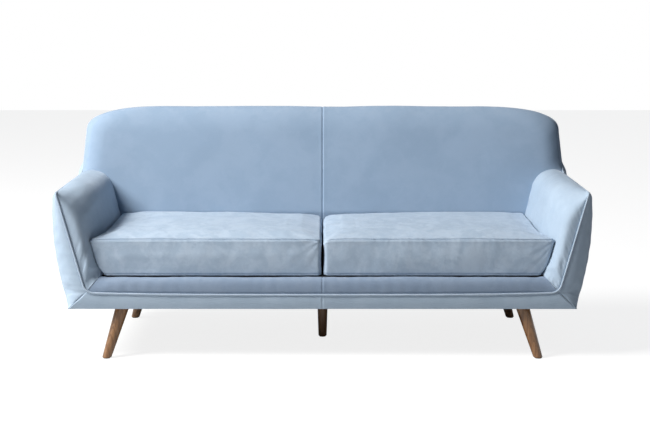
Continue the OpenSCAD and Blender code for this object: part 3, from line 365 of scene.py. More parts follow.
# %% Nap of the cover
def make_nap():
    """Patches where the nap lies another way, and the height of the fibres."""
    group, given, out = node_group("nap", [("Vector", "Vector", (0, 0, 0)), ("Patch size", "Float", 7.0)],
                                   [("Patches", "Float"), ("Fibre", "Float")])
    broad = noise(group, given.outputs[0], given.outputs[1], 2.0, 0.5, 1.2)
    finer = math_node(group, "MULTIPLY", given.outputs[1], 5.0)
    streak = noise(group, given.outputs[0], finer, 3.0, 0.6, 0.6)
    patches = math_node(group, "ADD", math_node(group, "MULTIPLY", broad, 0.65),
                        math_node(group, "MULTIPLY", streak, 0.35))
    fine = noise(group, given.outputs[0], 900.0, 2.0, 0.7)
    tufts = noise(group, given.outputs[0], 260.0, 2.0, 0.6)
    height = math_node(group, "ADD", math_node(group, "MULTIPLY", fine, 0.6),
                       math_node(group, "MULTIPLY", tufts, 0.4))
    group.links.new(between(group, patches, 0.38, 0.62), out.inputs[0])
    group.links.new(height, out.inputs[1])
    return group

nap_group = make_nap()

# %% Grain of wood
def make_grain():
    """Long fibres, pores and yearly bands along Z; Along says how much they are stretched."""
    group, given, out = node_group("grain", [("Vector", "Vector", (0, 0, 0)), ("Along", "Float", 0.06),
                                             ("Band size", "Float", 60.0)],
                                   [("Bands", "Float"), ("Pores", "Float")])
    stretch = add(group, "CombineXYZ", X=1.0, Y=1.0, Z=given.outputs[1]).outputs[0]
    along = add(group, "VectorMath", {"operation": "MULTIPLY"}, _0=given.outputs[0], _1=stretch).outputs[0]
    warp = noise(group, along, 18.0, 3.0, 0.55, 0.8)
    drift = math_node(group, "MULTIPLY", noise(group, along, 6.0, 1.0), 1.5)
    turns = math_node(group, "MULTIPLY", math_node(group, "ADD", warp, drift), given.outputs[2])
    rings = math_node(group, "SINE", turns)
    group.links.new(between(group, rings, -1.0, 1.0), out.inputs[0])
    group.links.new(between(group, noise(group, along, 700.0, 2.0, 0.7), 0.52, 0.7), out.inputs[1])
    return group

grain_group = make_grain()

# %% Rubbed edges and dust
def make_wear():
    """Two masks: Edges, where corners are rubbed, and Dust, which lies on faces that look up."""
    group, given, out = node_group("wear", [("Vector", "Vector", (0, 0, 0)), ("Spread", "Float", 0.5)],
                                   [("Edges", "Float"), ("Dust", "Float")])
    shape = group.nodes.new("ShaderNodeNewGeometry")
    spots = noise(group, given.outputs[0], 40.0, 4.0, 0.6)
    edges = between(group, shape.outputs["Pointiness"], 0.52, 0.62)
    up = add(group, "SeparateXYZ", Vector=shape.outputs["Normal"]).outputs[2]
    dust = math_node(group, "MULTIPLY", between(group, up, 0.4, 1.0), between(group, spots, 0.4, 0.7))
    group.links.new(math_node(group, "MULTIPLY", edges, spots), out.inputs[0])
    group.links.new(math_node(group, "MULTIPLY", dust, given.outputs[1]), out.inputs[1])
    return group

wear_group = make_wear()

# %% Woven cloth
def make_weave():
    """Height of a plain weave and the mask of its gaps; Threads is their count in a metre."""
    group, given, out = node_group("weave", [("Vector", "Vector", (0, 0, 0)), ("Threads", "Float", 900.0)],
                                   [("Height", "Float"), ("Gaps", "Float")])
    scaled = add(group, "VectorMath", {"operation": "SCALE"}, _0=given.outputs[0],
                 Scale=given.outputs[1]).outputs[0]
    parts = add(group, "SeparateXYZ", Vector=scaled)
    along = math_node(group, "ADD", parts.outputs[0], parts.outputs[2])
    across = math_node(group, "ADD", parts.outputs[1], parts.outputs[2])
    height = math_node(group, "MULTIPLY", math_node(group, "SINE", along), math_node(group, "SINE", across))
    group.links.new(height, out.inputs[0])
    group.links.new(between(group, math_node(group, "ABSOLUTE", height), 0.0, 0.35, 1.0, 0.0), out.inputs[1])
    return group

weave_group = make_weave()
print("node groups", [group.name for group in bpy.data.node_groups])

# %% [markdown]
# The materials
# The cover has a soft grey-blue colour, which turns paler where its nap stands up; the back, the rail and the
# piping get darker copies of it, which are painted shade.
# A little sheen lights its edges as on the real nap. The legs are walnut under a
# satin lacquer. What is hidden under the cushions and the base is plain and honest:
# black lining, pale pine, foam, zinc steel and black glides.

# %% Helper that starts a material
def material(name):
    """A material with its shader, its point in space and an empty node tree around them."""
    made = bpy.data.materials.new(name)
    made.use_nodes = True
    tree = made.node_tree
    point = add(tree, "TexCoord").outputs["Object"]
    return made, tree, tree.nodes["Principled BSDF"], point

def use(tree, group, point, **values):
    made = tree.nodes.new("ShaderNodeGroup")
    made.node_tree = group
    tree.links.new(point, made.inputs[0])
    for label, value in values.items():
        made.inputs[label.replace("_", " ")].default_value = value
    return made.outputs

def bump(tree, shader, height, strength, distance):
    made = add(tree, "Bump", Height=height, Strength=strength, Distance=distance)
    tree.links.new(made.outputs[0], shader.inputs["Normal"])

# %% Napped cover cloth
def cover_cloth(name, dark, pale, patch_size):
    made, tree, shader, point = material(name)
    nap = use(tree, nap_group, point, Patch_size=patch_size)
    wear = use(tree, wear_group, point, Spread=0.10)
    colour = mix_colour(tree, nap["Patches"], dark, pale)
    tips = math_node(tree, "MULTIPLY", nap["Fibre"], 0.35)
    fibres = mix_colour(tree, tips, colour, (0.82, 0.87, 0.92, 1), "SOFT_LIGHT")
    dusty = mix_colour(tree, wear["Dust"], fibres, (0.62, 0.66, 0.70, 1))
    tree.links.new(dusty, shader.inputs["Base Color"])
    tree.links.new(between(tree, nap["Patches"], 0.0, 1.0, 0.86, 0.78), shader.inputs["Roughness"])
    shader.inputs["Sheen Weight"].default_value = 0.35
    shader.inputs["Sheen Roughness"].default_value = 0.35
    shader.inputs["Sheen Tint"].default_value = (0.80, 0.88, 1.0, 1)
    shader.inputs["Specular IOR Level"].default_value = 0.2
    bump(tree, shader, nap["Fibre"], 0.4, 0.0012)
    return made

sofa_cloth = cover_cloth("sofa_cloth", (0.362, 0.457, 0.565, 1), (0.392, 0.487, 0.595, 1), 7.0)
cushion_cloth = cover_cloth("cushion_cloth", (0.355, 0.448, 0.560, 1), (0.425, 0.518, 0.630, 1), 14.0)
# Darker copy of the cover for the back pad: painted shade, as the back gets less light than the arms and
# cushions.
back_cloth_painted_shade = cover_cloth("back_cloth_painted_shade", (0.258, 0.350, 0.472, 1), (0.278, 0.370, 0.494, 1), 6.0)
# Darker still for the rail strip under the cushions: painted shade of the cushions' shadow.
rail_cloth_painted_shade = cover_cloth("rail_cloth_painted_shade", (0.205, 0.268, 0.365, 1), (0.225, 0.288, 0.385, 1), 7.0)
# The piping cloth is a little darker than the cover: painted shade, as the welt sits in shade along the
# seams.
piping_cloth = cover_cloth("piping_cloth", (0.345, 0.425, 0.520, 1), (0.385, 0.465, 0.560, 1), 20.0)

# %% Walnut legs
def walnut():
    made, tree, shader, point = material("leg_wood")
    grain = use(tree, grain_group, point, Along=0.07, Band_size=55.0)
    wear = use(tree, wear_group, point, Spread=0.15)
    wood = mix_colour(tree, grain["Bands"], (0.160, 0.070, 0.022, 1), (0.245, 0.120, 0.045, 1))
    pored = mix_colour(tree, math_node(tree, "MULTIPLY", grain["Pores"], 0.3), wood, (0.050, 0.022, 0.008, 1))
    rubbed = mix_colour(tree, math_node(tree, "MULTIPLY", wear["Edges"], 0.4), pored, (0.30, 0.17, 0.10, 1))
    tree.links.new(rubbed, shader.inputs["Base Color"])
    tree.links.new(between(tree, grain["Pores"], 0.0, 1.0, 0.34, 0.5), shader.inputs["Roughness"])
    shader.inputs["Coat Weight"].default_value = 0.45
    shader.inputs["Coat Roughness"].default_value = 0.25
    bump(tree, shader, grain["Pores"], 0.12, -0.0002)
    return made

leg_wood = walnut()

# %% Pine of the frame and the boards
def plain_wood(name, dark, pale, roughness, turn):
    made, tree, shader, point = material(name)
    turned = add(tree, "VectorRotate", {"rotation_type": "EULER_XYZ"}, Vector=point, Rotation=turn).outputs[0]
    grain = use(tree, grain_group, turned, Along=0.04, Band_size=24.0)
    wear = use(tree, wear_group, point, Spread=0.3)
    wood = mix_colour(tree, grain["Bands"], dark, pale)
    dusty = mix_colour(tree, wear["Dust"], wood, (0.55, 0.52, 0.47, 1))
    tree.links.new(dusty, shader.inputs["Base Color"])
    rough = between(tree, grain["Bands"], 0.0, 1.0, roughness, roughness - 0.1)
    tree.links.new(rough, shader.inputs["Roughness"])
    bump(tree, shader, grain["Pores"], 0.3, -0.0003)
    return made

lying = (0, math.pi / 2, 0)
frame_timber = plain_wood("frame_timber", (0.42, 0.27, 0.13, 1), (0.60, 0.43, 0.24, 1), 0.7, lying)
board = plain_wood("board", (0.20, 0.13, 0.07, 1), (0.27, 0.18, 0.10, 1), 0.8, lying)

# %% Lining, webbing and tape
def woven(name, yarn, gap, threads):
    made, tree, shader, point = material(name)
    weave = use(tree, weave_group, point, Threads=threads)
    wear = use(tree, wear_group, point, Spread=0.10)
    cloth = mix_colour(tree, weave["Gaps"], yarn, gap)
    tree.links.new(mix_colour(tree, wear["Dust"], cloth, (0.20, 0.20, 0.20, 1)), shader.inputs["Base Color"])
    tree.links.new(between(tree, weave["Gaps"], 0.0, 1.0, 0.75, 0.9), shader.inputs["Roughness"])
    bump(tree, shader, weave["Height"], 0.5, 0.0004)
    return made

lining = woven("lining", (0.022, 0.022, 0.026, 1), (0.008, 0.008, 0.010, 1), 3000.0)

# %% Foam and wadding
def foam():
    made, tree, shader, point = material("padding")
    cells = add(tree, "TexVoronoi", Vector=point, Scale=600.0).outputs["Distance"]
    cloud = noise(tree, point, 9.0, 3.0)
    yellow = mix_colour(tree, cloud, (0.74, 0.66, 0.44, 1), (0.84, 0.79, 0.62, 1))
    tree.links.new(yellow, shader.inputs["Base Color"])
    tree.links.new(between(tree, cells, 0.0, 0.5, 0.95, 0.85), shader.inputs["Roughness"])
    bump(tree, shader, cells, 0.4, 0.0006)
    return made

padding = foam()

# %% Zinc steel and moulded glides
def zinc_steel():
    made, tree, shader, point = material("steel")
    flakes = add(tree, "TexVoronoi", {"feature": "F1"}, Vector=point, Scale=260.0).outputs["Color"]
    wear = use(tree, wear_group, point, Spread=0.2)
    grey = add(tree, "RGBToBW", Color=flakes).outputs[0]
    zinc = mix_colour(tree, grey, (0.50, 0.51, 0.53, 1), (0.66, 0.67, 0.69, 1))
    tree.links.new(mix_colour(tree, wear["Edges"], zinc, (0.80, 0.81, 0.83, 1)), shader.inputs["Base Color"])
    tree.links.new(between(tree, grey, 0.0, 1.0, 0.3, 0.48), shader.inputs["Roughness"])
    shader.inputs["Metallic"].default_value = 1.0
    return made

def moulded():
    made, tree, shader, point = material("glide")
    grit = noise(tree, point, 1200.0, 2.0)
    wear = use(tree, wear_group, point, Spread=0.3)
    black = mix_colour(tree, wear["Edges"], (0.015, 0.015, 0.016, 1), (0.07, 0.07, 0.07, 1))
    tree.links.new(black, shader.inputs["Base Color"])
    tree.links.new(between(tree, grit, 0.3, 0.7, 0.45, 0.6), shader.inputs["Roughness"])
    bump(tree, shader, grit, 0.2, 0.0002)
    return made

steel, glide = zinc_steel(), moulded()
print("materials", sorted(made.name for made in bpy.data.materials))

# %% [markdown]
# The frame keeps its shape
# Rails, posts, boards, plates and screws are right as they came from the CAD model,
# so they only get better materials. We go through the record, which says which
# finish each part has, and swap the material in its slots.

# %% Finishes for the parts that stay
finishes = {"frame_timber": frame_timber, "board": board, "steel": steel, "glide": glide, "lining": lining,
            "leg_wood": leg_wood, "padding": padding, "sofa_cloth": sofa_cloth, "piping_cloth": piping_cloth}
for part in frame["record"]["subparts"]:
    for held in nodes[part["node"]].material_slots:
        held.material = finishes[part["material_slot"]]

# %% [markdown]
# The arms
# An arm is foam over a timber frame, with the cover pulled from the piping over a
# fat roll and down to the deck. Just behind the front piping the cover is almost flat,
# and the padding swells behind that strip. We blend from the front edge to the full
# roll with a quarter circle, as foam rounds when a cover pulls it down at a seam.

# %% Outline of the arm, seen from the front
arm_swell = 0.027
roll_x, roll_z = tip_x - 0.128, arm_h - 0.054
seam_tuck = 0.0030

def forward(y):
    """0 at the back's face and 1 at the front of the arm."""
    return lim((back_face_y - y) / (back_face_y - front_y), 0, 1)

def arm_foot_x(y):
    """Where the arm meets the deck, further out towards the front."""
    return tip_x - 0.196 + 0.052 * forward(y) ** 2

def roll(k, stations):
    """Smooth curve that starts at the first of four stations and ends at the last."""
    pulls = [(1 - k) ** 3, 3 * k * (1 - k) ** 2, 3 * k * k * (1 - k), k ** 3]
    return [sum(pull * station[way] for pull, station in zip(pulls, stations)) for way in (0, 1)]

def arm_line(t, y):
    """Across the arm from its piping (t = 0) over the roll to the deck (t = 1)."""
    x_end = roll_x + 0.010 * forward(y)
    crown_h = arm_h + arm_swell
    stations = [(tip_x, arm_h), (tip_x - 0.016, crown_h), (x_end + 0.0213, crown_h), (x_end, roll_z)]
    x, z = roll(lim(2 * t, 0, 1), stations)
    down = lim(2 * t - 1, 0, 1)
    return mix(x, arm_foot_x(y), down), mix(z, deck_h, down)

# %% Front edge of the arm
mitre_share = 0.88
top_way_x, top_way_z = -0.51, 0.86

def edge_turn(t):
    """How far the piping has turned from level, at a share t down the arm's front edge."""
    return mix(corner_turn, corner_turn / 2, lim((t - mitre_share) / (1 - mitre_share), 0, 1))

def arm_edge(t):
    """Front edge of the arm's cover, from the tip (0) to the mitre at the lower corner (1)."""
    z = mix(arm_h, foot_z, t / mitre_share)
    bend = corner_at(edge_turn(t))
    low = t >= mitre_share
    return np.where(low, bend[..., 0], front_edge_x(z)), np.where(low, bend[..., 2], z)

def edge_way(t):
    """The way from the piping into the cover, square to the piping."""
    top = ease(1 - t / 0.06)
    x = mix(-np.sin(edge_turn(t)), top_way_x, top)
    z = mix(np.cos(edge_turn(t)), top_way_z, top)
    return x / np.hypot(x, z), z / np.hypot(x, z)

# %% Surface of the arm
arm_nose, rail_nose = 0.266, 0.045

def nose_at(t):
    """How far behind the front edge the padding reaches its full roll."""
    return mix(arm_nose, rail_nose, lim((t - 0.6) / 0.4, 0, 1) ** 2)

def arm_surface(t, d, tuck=seam_tuck):
    """Point at a share t of the outline and d metres behind the front edge."""
    g = rnd(d / nose_at(t))
    ex, ez = arm_edge(t)
    wx, wz = edge_way(t)
    y0 = front_edge_y(ez)
    flat = mix(0.15, 1, np.maximum(ease(d / 0.085), ease((t - 0.78) / 0.2)))
    y = y0 + d * flat + 0.0022 * fade(d, 0.010) * ease((0.97 - t) / 0.08)
    lx, lz = arm_line(t, y0 + d)
    top = tuck * (1 - t) ** 2
    return column(mix(ex + tuck * wx, lx + top_way_x * top, g), y,
                  mix(ez + tuck * wz, lz + top_way_z * top, g))

def arm_grid(rows=110, nose_cols=34, long_cols=90):
    t = np.concatenate([0.10 * quarter(18)[:-1], np.linspace(0.10, mitre_share, rows - 40)[:-1],
                        np.linspace(mitre_share, 1, 24)])[:, None]
    nose = nose_at(t)
    end = back_y(arm_line(t, back_face_y)[1]) + 0.012 - front_edge_y(arm_edge(t)[1])
    behind = mix(nose, end, np.linspace(0, 1, long_cols)[None, 1:])
    d = np.concatenate([nose * quarter(nose_cols)[None, :], behind], axis=1)
    return arm_surface(np.broadcast_to(t, d.shape), d), t, d

grid, shares, depths = arm_grid()
show("arm grid", grid)

# %% [markdown]
# Folds in the cover
# Cloth that is sewn to a piping on a curve keeps small folds. They start at the seam
# as sharp ripples, a few centimetres apart, and die away within the length of a
# finger. A ripple along the seam that fades with the distance from it gives just
# that. The long soft drags on the front of the arm are ripples too, further apart.

# %% Folds on the arms
def ripples(along, gap, depth, seed, strength=0.5):
    """Uneven folds along a seam, gap metres apart and up to depth metres deep."""
    rng = np.random.default_rng(seed)
    total = 0
    for _ in range(3):
        total = total + np.sin(2 * math.pi * along / (gap * rng.uniform(0.8, 1.6)) + rng.uniform(0, 6.28))
    return -depth * (0.5 + 0.5 * np.tanh(strength * total))

def arm_folds(grid, t, d, seed):
    """Offsets of the arm's cover along its normals."""
    t = np.broadcast_to(t, d.shape)
    edge_length = t * (arm_h - foot_z)
    small = ripples(edge_length, 0.020, 0.0011, seed) * fade(d, 0.018) * ease(t / 0.1)
    lower = ease((t - 0.45) / 0.3) * ease(1 - (t - 0.9) / 0.1)
    drag_line = edge_length + 0.55 * d
    drags = ripples(drag_line, 0.056, 0.0034, seed + 1, 1.2) * lower * fade(d, 0.075) * ease(d / 0.004)
    mitre = (ripples(d + 0.3 * edge_length, 0.016, 0.0022, seed + 2, 1.2)
             * ease((t - 0.9) / 0.08) * fade(d, 0.03) * ease(d / 0.003))
    crease = ripples(t * 0.4, 0.034, 0.0016, seed + 3) * fade(d.max(axis=1, keepdims=True) - d, 0.04)
    broad = waves(grid, 0.16, 0.0011, seed + 4) + waves(grid, 0.035, 0.0003, seed + 5)
    folds = small + drags + mitre + crease + broad * ease(d / 0.03) * ease(t / 0.06)
    return folds * ease((1 - t) / 0.016)

mitre_way = 0.7

def mitre_dip(to_seam):
    """Both covers sink together into the inner mitre seam, out and down."""
    return 0.0022 * line_at(to_seam, 0.0035)

# %% The two arms
def arm_piece(side, seed):
    word = side_word[side]
    middle = np.array([0.90, -0.05, 0.40])
    folded = pushed(grid, middle, arm_folds(grid, shares, depths, seed))
    dip = mitre_dip((1 - shares) * 0.30) * ease(depths / 0.008)
    folded = folded + np.broadcast_to(dip, depths.shape)[..., None] * np.array([mitre_way, 0, -mitre_way])
    piece = cover_piece("arm_" + word, on_side(folded, side), middle * [side, 1, 1], sofa_cloth)
    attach(piece, "root")
    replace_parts(piece, "arm_cover_" + word, "arm_foam_" + word)
    return piece

arms = [arm_piece(1, 11), arm_piece(-1, 31)]
print("arms", [len(arm.data.vertices) for arm in arms])

# %% [markdown]
# The back
# The back is one wide pad. It rises from the deck, leans away, rolls over the top
# and is sewn down to the piping behind. At the sides it rolls to the wings' piping,
# and one seam down its middle joins two widths of cloth. Each row of the grid is the
# same outline, pulled down to the piping over the last stretch towards the sides.

# %% Outline of the back, seen from the side
face_end = 0.62
back_swell = 0.041

def back_line(t):
    """Up the face from the deck (t = 0), over the roll to the top piping (t = 1)."""
    z_face = mix(deck_h, corner_z, lim(t / face_end, 0, 1))
    y_top = back_y(corner_z)
    stations = [(y_top, corner_z), (y_top + back_swell * 2 * math.sin(back_lean), corner_z + 2 * back_swell),
                (top_pipe_y - 0.015, back_pipe_h + back_swell), (top_pipe_y, back_pipe_h)]
    y, z = roll(lim((t - face_end) / (1 - face_end), 0, 1), stations)
    return np.where(t > face_end, y, back_y(z_face)), np.where(t > face_end, z, z_face)

# %% Side edge of the back
def side_depth(z):
    """How far the wings' piping lies behind the back's face."""
    curve = fillet_y + np.sqrt(np.maximum(fillet_r ** 2 - (arm_h + fillet_r - z) ** 2, 0)) - back_y(z)
    low = np.maximum(0.012, np.where(z > arm_h, curve, 0))
    return np.where(z > fillet_end[2], wing_depth, low)

def back_edge(t):
    """Side edge of the back at a share t of its outline: inside the arm, wing and top corner."""
    z = back_line(t)[1]
    x = np.where(z > arm_h, wing_x(z), mix(0.86, tip_x, ease((z - 0.53) / (arm_h - 0.53))))
    top = top_corner_at(math.pi / 2 * lim((t - face_end) / (1 - face_end), 0, 1))
    high = t > face_end
    return (np.where(high, top[..., 0], x), np.where(high, top[..., 1], back_y(z) + side_depth(z)),
            np.where(high, top[..., 2], z))

# %% Surface of the back
def back_surface(t, f):
    """f runs from the side edge (0) over the side roll (1) to the middle (2)."""
    ex, ey, ez = back_edge(t)
    width = mix(0.080, 0.220, lim((t - face_end) / (1 - face_end), 0, 1))
    d = np.where(f <= 1, width * lim(f, 0, 1), mix(width, ex, f - 1))
    g = np.where(f >= 1, 1, rnd(d / width))
    ly, lz = back_line(t)
    wy, wz = ly - ey, lz - ez
    far = np.maximum(np.hypot(wy, wz), 1e-6)
    near = np.where(far > 0.004, seam_tuck, 0)
    start_y, start_z = ey + near * wy / far, ez + near * wz / far
    return column(ex - d, mix(start_y, ly, g), mix(start_z, lz, g))

def back_half():
    turn = np.linspace(0, math.pi / 2, 60)
    t = np.concatenate([np.linspace(0, face_end, 80)[:-1], face_end + (1 - face_end) * np.sin(turn)])
    f = np.concatenate([quarter(36)[:-1], 1 + np.sin(np.linspace(0, math.pi / 2, 90))])
    t, f = np.meshgrid(t, f, indexing="ij")
    return back_surface(t, f), t, f

half, back_t, back_f = back_half()
back_grid = np.concatenate([half * [-1, 1, 1], half[:, -2::-1]], axis=1)
back_t, back_f = [np.concatenate([share, share[:, -2::-1]], axis=1) for share in (back_t, back_f)]
print("back grid", back_grid.shape, "top", back_grid[..., 2].max().round(4))

# %% Middle seam and folds of the back
seam_w = 0.0022

def seam_valley(distance, depth, pillow):
    """A sewn line: a narrow valley with the padding swelling on both sides of it."""
    return -depth * line_at(distance, seam_w) + pillow * line_at(distance - 3 * seam_w, 3 * seam_w)

def back_folds(grid, t, f):
    x, z = grid[..., 0], grid[..., 2]
    seam = seam_valley(np.abs(x), 0.0020, 0.0004)
    pulls = ripples(z, 0.045, 0.0005, 51) * fade(np.abs(x), 0.02)
    side = ripples(z, 0.030, 0.0012, 52) * fade(f * 0.08, 0.03) * ease(f / 0.03)
    top = ripples(x, 0.060, 0.0010, 53) * ease((t - 0.93) / 0.06)
    broad = waves(grid, 0.30, 0.0014, 54) + waves(grid, 0.08, 0.0002, 55)
    return seam + pulls + side + top + broad * ease(f / 0.3) * ease((1 - t) / 0.08)

inside = np.array([0, 0.30, 0.50])
folded = pushed(back_grid, inside, back_folds(back_grid, back_t, back_f))
# The back pad gets the darker copy of the cover, which is painted shade.
back = cover_piece("back_pad", folded, inside, back_cloth_painted_shade)
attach(back, "root")
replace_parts(back, "back_cover_left", "back_cover_right", "back_foam")
print("back", len(back.data.vertices))

# %% [markdown]
# The front rail
# Below the cushions the cover comes up from the piping, rounds over a firm edge and
# runs back to the deck. Where it meets the arm, the two covers are sewn in a mitre,
# a diagonal seam from the piping's bend to the deck. A seam runs down the middle,
# because the cloth isn't as wide as the sofa.

# %% Surface of the upholstered rail
def corner_rise(x):
    """How far the front piping has climbed and turned at a place across the sofa."""
    turned = np.arcsin(lim((np.abs(x) - corner_x) / pipe_corner_r, 0, math.sin(corner_turn / 2)))
    return lift_at(x) + pipe_corner_r * (1 - np.cos(turned)), turned

def shares_across():
    """Shares from -1 to 1 across the sofa, close together at the ends and the middle seam."""
    u = np.sin(np.linspace(-math.pi / 2, math.pi / 2, 420))
    return np.sort(np.concatenate([u, np.linspace(-0.03, 0.03, 61)]))

def rail_grid():
    d = np.concatenate([rail_nose * quarter(30), [rail_nose + 0.001, rail_nose + 0.002]])
    end = arm_surface(np.full_like(d, 1.0), d)[:, 0] + 0.0006
    x = end[:, None] * shares_across()[None, :]
    rise, turned = corner_rise(x)
    firm = 2 + 1.4 * ease((end[:, None] - np.abs(x)) / 0.12)
    g = (1 - (1 - lim(d / rail_nose, 0, 1))[:, None] ** firm) ** (1 / firm)
    low = rail_pipe_h + rise + seam_tuck / np.cos(turned)
    z = mix(low, deck_h, g) - 1.5 * np.maximum(d[:, None] - rail_nose, 0)
    z = z - 0.005 * ease((d[:, None] - 0.028) / 0.014) * ease((end[:, None] - np.abs(x)) / 0.03)
    return column(x, front_y + d[:, None], z), d[:, None], end[:, None]

# %% Folds and seams of the rail
def rail_folds(grid, d, end):
    x = grid[..., 0]
    middle = seam_valley(np.abs(x), 0.0012, 0.0003)
    to_end = end - np.abs(x)
    puckers = ripples(d + 0.4 * x, 0.014, 0.0018, 61, 1.2) * fade(to_end, 0.025) * ease(d / 0.004)
    pipe_side = ripples(x, 0.035, 0.0008, 62) * fade(d, 0.012)
    broad = waves(grid, 0.20, 0.0010, 63) + waves(grid, 0.045, 0.0004, 64)
    soft = broad * ease(d / 0.02) * ease((0.046 - d) / 0.01)
    return (middle + puckers + pipe_side + soft) * ease(to_end / 0.004)

inside = np.array([0, front_y + 0.06, 0.20])
rail, rail_d, rail_end = rail_grid()
dip = mitre_dip(rail_end - np.abs(rail[..., 0])) * ease(rail_d / 0.008)
rail = pushed(rail, inside, rail_folds(rail, rail_d, rail_end))
rail = rail + column(np.sign(rail[..., 0]) * mitre_way * dip, 0, -mitre_way * dip)
# The rail's darker copy of the cover is painted shade from the cushions above it.
rail_pad = cover_piece("rail_pad", rail, inside, rail_cloth_painted_shade)
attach(rail_pad, "root")
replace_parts(rail_pad, "rail_cover", "rail_foam")
print("rail", rail.shape, "top", rail[..., 2].max().round(4))

# %% [markdown]
# The outer sides
# A thin wadding under the outer cover gives the side its soft belly: it starts flat at
# the piping and swells to the full width below the arm. At the bottom and at the rear
# edge the cloth is turned under and tacked, so it ends in a small round hem and never
# in a raw edge.

# %% Outline of the outer side
rear_edge_h = shoulder_h - 2 * pipe_r
wrap_degrees = 48

def near_edge():
    """Points along the piping, from the front's lower corner to the back's top, and their steps."""
    up = np.linspace(foot_z, arm_h, 60)
    back_up = np.linspace(fillet_end[2], corner_z, 14)
    parts = [(corner_at(mix(corner_turn / 2, corner_turn, quarter(30))), 0, 3),
             (column(front_edge_x(up), front_edge_y(up), up)[1:], 3, 8),
             (column(tip_x, np.linspace(tip_y, fillet_y, 60), arm_h)[1:], 8, 12),
             (fillet_at(np.linspace(0, fillet_turn, 24))[1:], 12, 16),
             (wing_at(back_up)[1:], 16, 18),
             (top_corner_at(np.radians(np.linspace(0, wrap_degrees, 34)))[1:], 18, 22)]
    points = np.concatenate([part for part, _, _ in parts])
    steps = [np.linspace(a, b, len(part) + 1)[1:] for part, a, b in parts[1:]]
    return points, np.concatenate([3 * quarter(30)] + steps)

def far_edge(i):
    """Where the cover ends at step i: the underside up to 16, then up the rear edge."""
    z = np.where(i <= 16, underside_h, mix(underside_h, rear_edge_h, lim((i - 16) / 6, 0, 1) ** 0.6))
    y = np.where(i <= 16, mix(front_edge_y(underside_h), outer_y(underside_h), i / 16), outer_y(z))
    return y, z

# %% Surface of the outer side
def side_grid(rows=90):
    """Points of the outer side, how far each lies from the piping, and its step along it."""
    near, i = near_edge()
    near, i = near[None], i[None]
    w = quarter(rows)[:, None] ** 0.85
    fy, fz = far_edge(i)
    run_y, run_z = fy - near[..., 1], fz - near[..., 2]
    run = np.hypot(run_y, run_z)
    lift = np.where(i > 16, 0.0020, 0)
    y = mix(near[..., 1] + lift * run_y / run, fy, w)
    z = mix(near[..., 2] + lift * run_z / run, fz, w)
    low = mix(near[..., 0], front_edge_x(z), lim(4 * w, 0, 1))
    out = mix(0.0004, seam_tuck, ease(i / 1.2)) * ease((18.5 - i) / 4)
    base = out + np.where(i < 4, low, np.where(z < arm_h, front_edge_x(z), edge_x(z)))
    wrap = rnd((y - np.maximum(front_edge_y(z), y[:, :1])) / 0.070)
    top = rnd(np.where(i <= 8, arm_h - z, w * run) / 0.0315)
    full = mix(side_x(z), edge_x(z) + 0.001, ease((z - arm_h - 0.005) / 0.065))
    x = mix(base, np.maximum(full, base), wrap * top)
    return column(x, y, z), w * run, np.broadcast_to(i, x.shape)

# %% Folds and hem of the outer side
def side_folds(grid, far, i):
    """Offsets of the outer side, and how far each point lies behind the front edge."""
    y, z = grid[..., 1], grid[..., 2]
    along = np.where(i <= 8, z, y)
    small = ripples(along, 0.022, 0.0009, 71) * fade(far, 0.016)
    front = fade(np.maximum(y - front_y, 0), 0.10)
    drags = (ripples(z + 0.6 * y, 0.055, 0.0022, 72, 1.2) * front
             * ease((far - 0.004) / 0.02) * ease((0.54 - z) / 0.08))
    broad = waves(grid, 0.28, 0.0016, 73) + waves(grid, 0.07, 0.0006, 74)
    across = np.cumsum(np.linalg.norm(np.diff(grid, axis=1, prepend=grid[:, :1]), axis=-1), axis=1)
    folds = small + drags + broad * ease(far / 0.05) * ease((z - underside_h) / 0.02) * ease(across / 0.02)
    return folds * ease(across / 0.006), across

hem_r, hem_depth = 0.0028, 0.014

def with_hem(grid, inward):
    """Adds a round hem that turns under at the last row of a cover."""
    a = np.linspace(0, math.pi / 2, 7)[:, None, None]
    last, before = grid[-1], grid[-2]
    run = (last - before) / np.linalg.norm(last - before, axis=-1, keepdims=True)
    bend = last + hem_r * ((np.sin(a) - 1) * run + (1 - np.cos(a)) * inward)
    flat = bend[-1:] + hem_depth * inward
    return np.concatenate([grid[:-1], bend, flat])

# %% The two outer sides
mitre_depth, mitre_w = 0.0016, 0.0028
inside = np.array([0.80, 0.0, 0.38])
side, side_far, side_step = side_grid()
offset, across = side_folds(side, side_far, side_step)
side = pushed(side, inside, offset)
side[..., 1] += mitre_depth * line_at(across, mitre_w)
side = with_hem(side, np.array([-1.0, 0, 0]))
thin_cloth = 0.002
for hand, word in side_word.items():
    piece = cover_piece("side_" + word, on_side(side, hand), inside * [hand, 1, 1], sofa_cloth, thin_cloth)
    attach(piece, "root")
    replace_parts(piece, "side_cover_" + word, "side_wadding_" + word)
show("side", side)

# %% [markdown]
# Front border and outer back
# Under the front piping a strip of cover runs down to the underside. Its ends meet the
# outer sides in mitre seams. The back of the sofa is one plain panel that hangs from
# the rear piping and is turned under at the bottom like the sides.

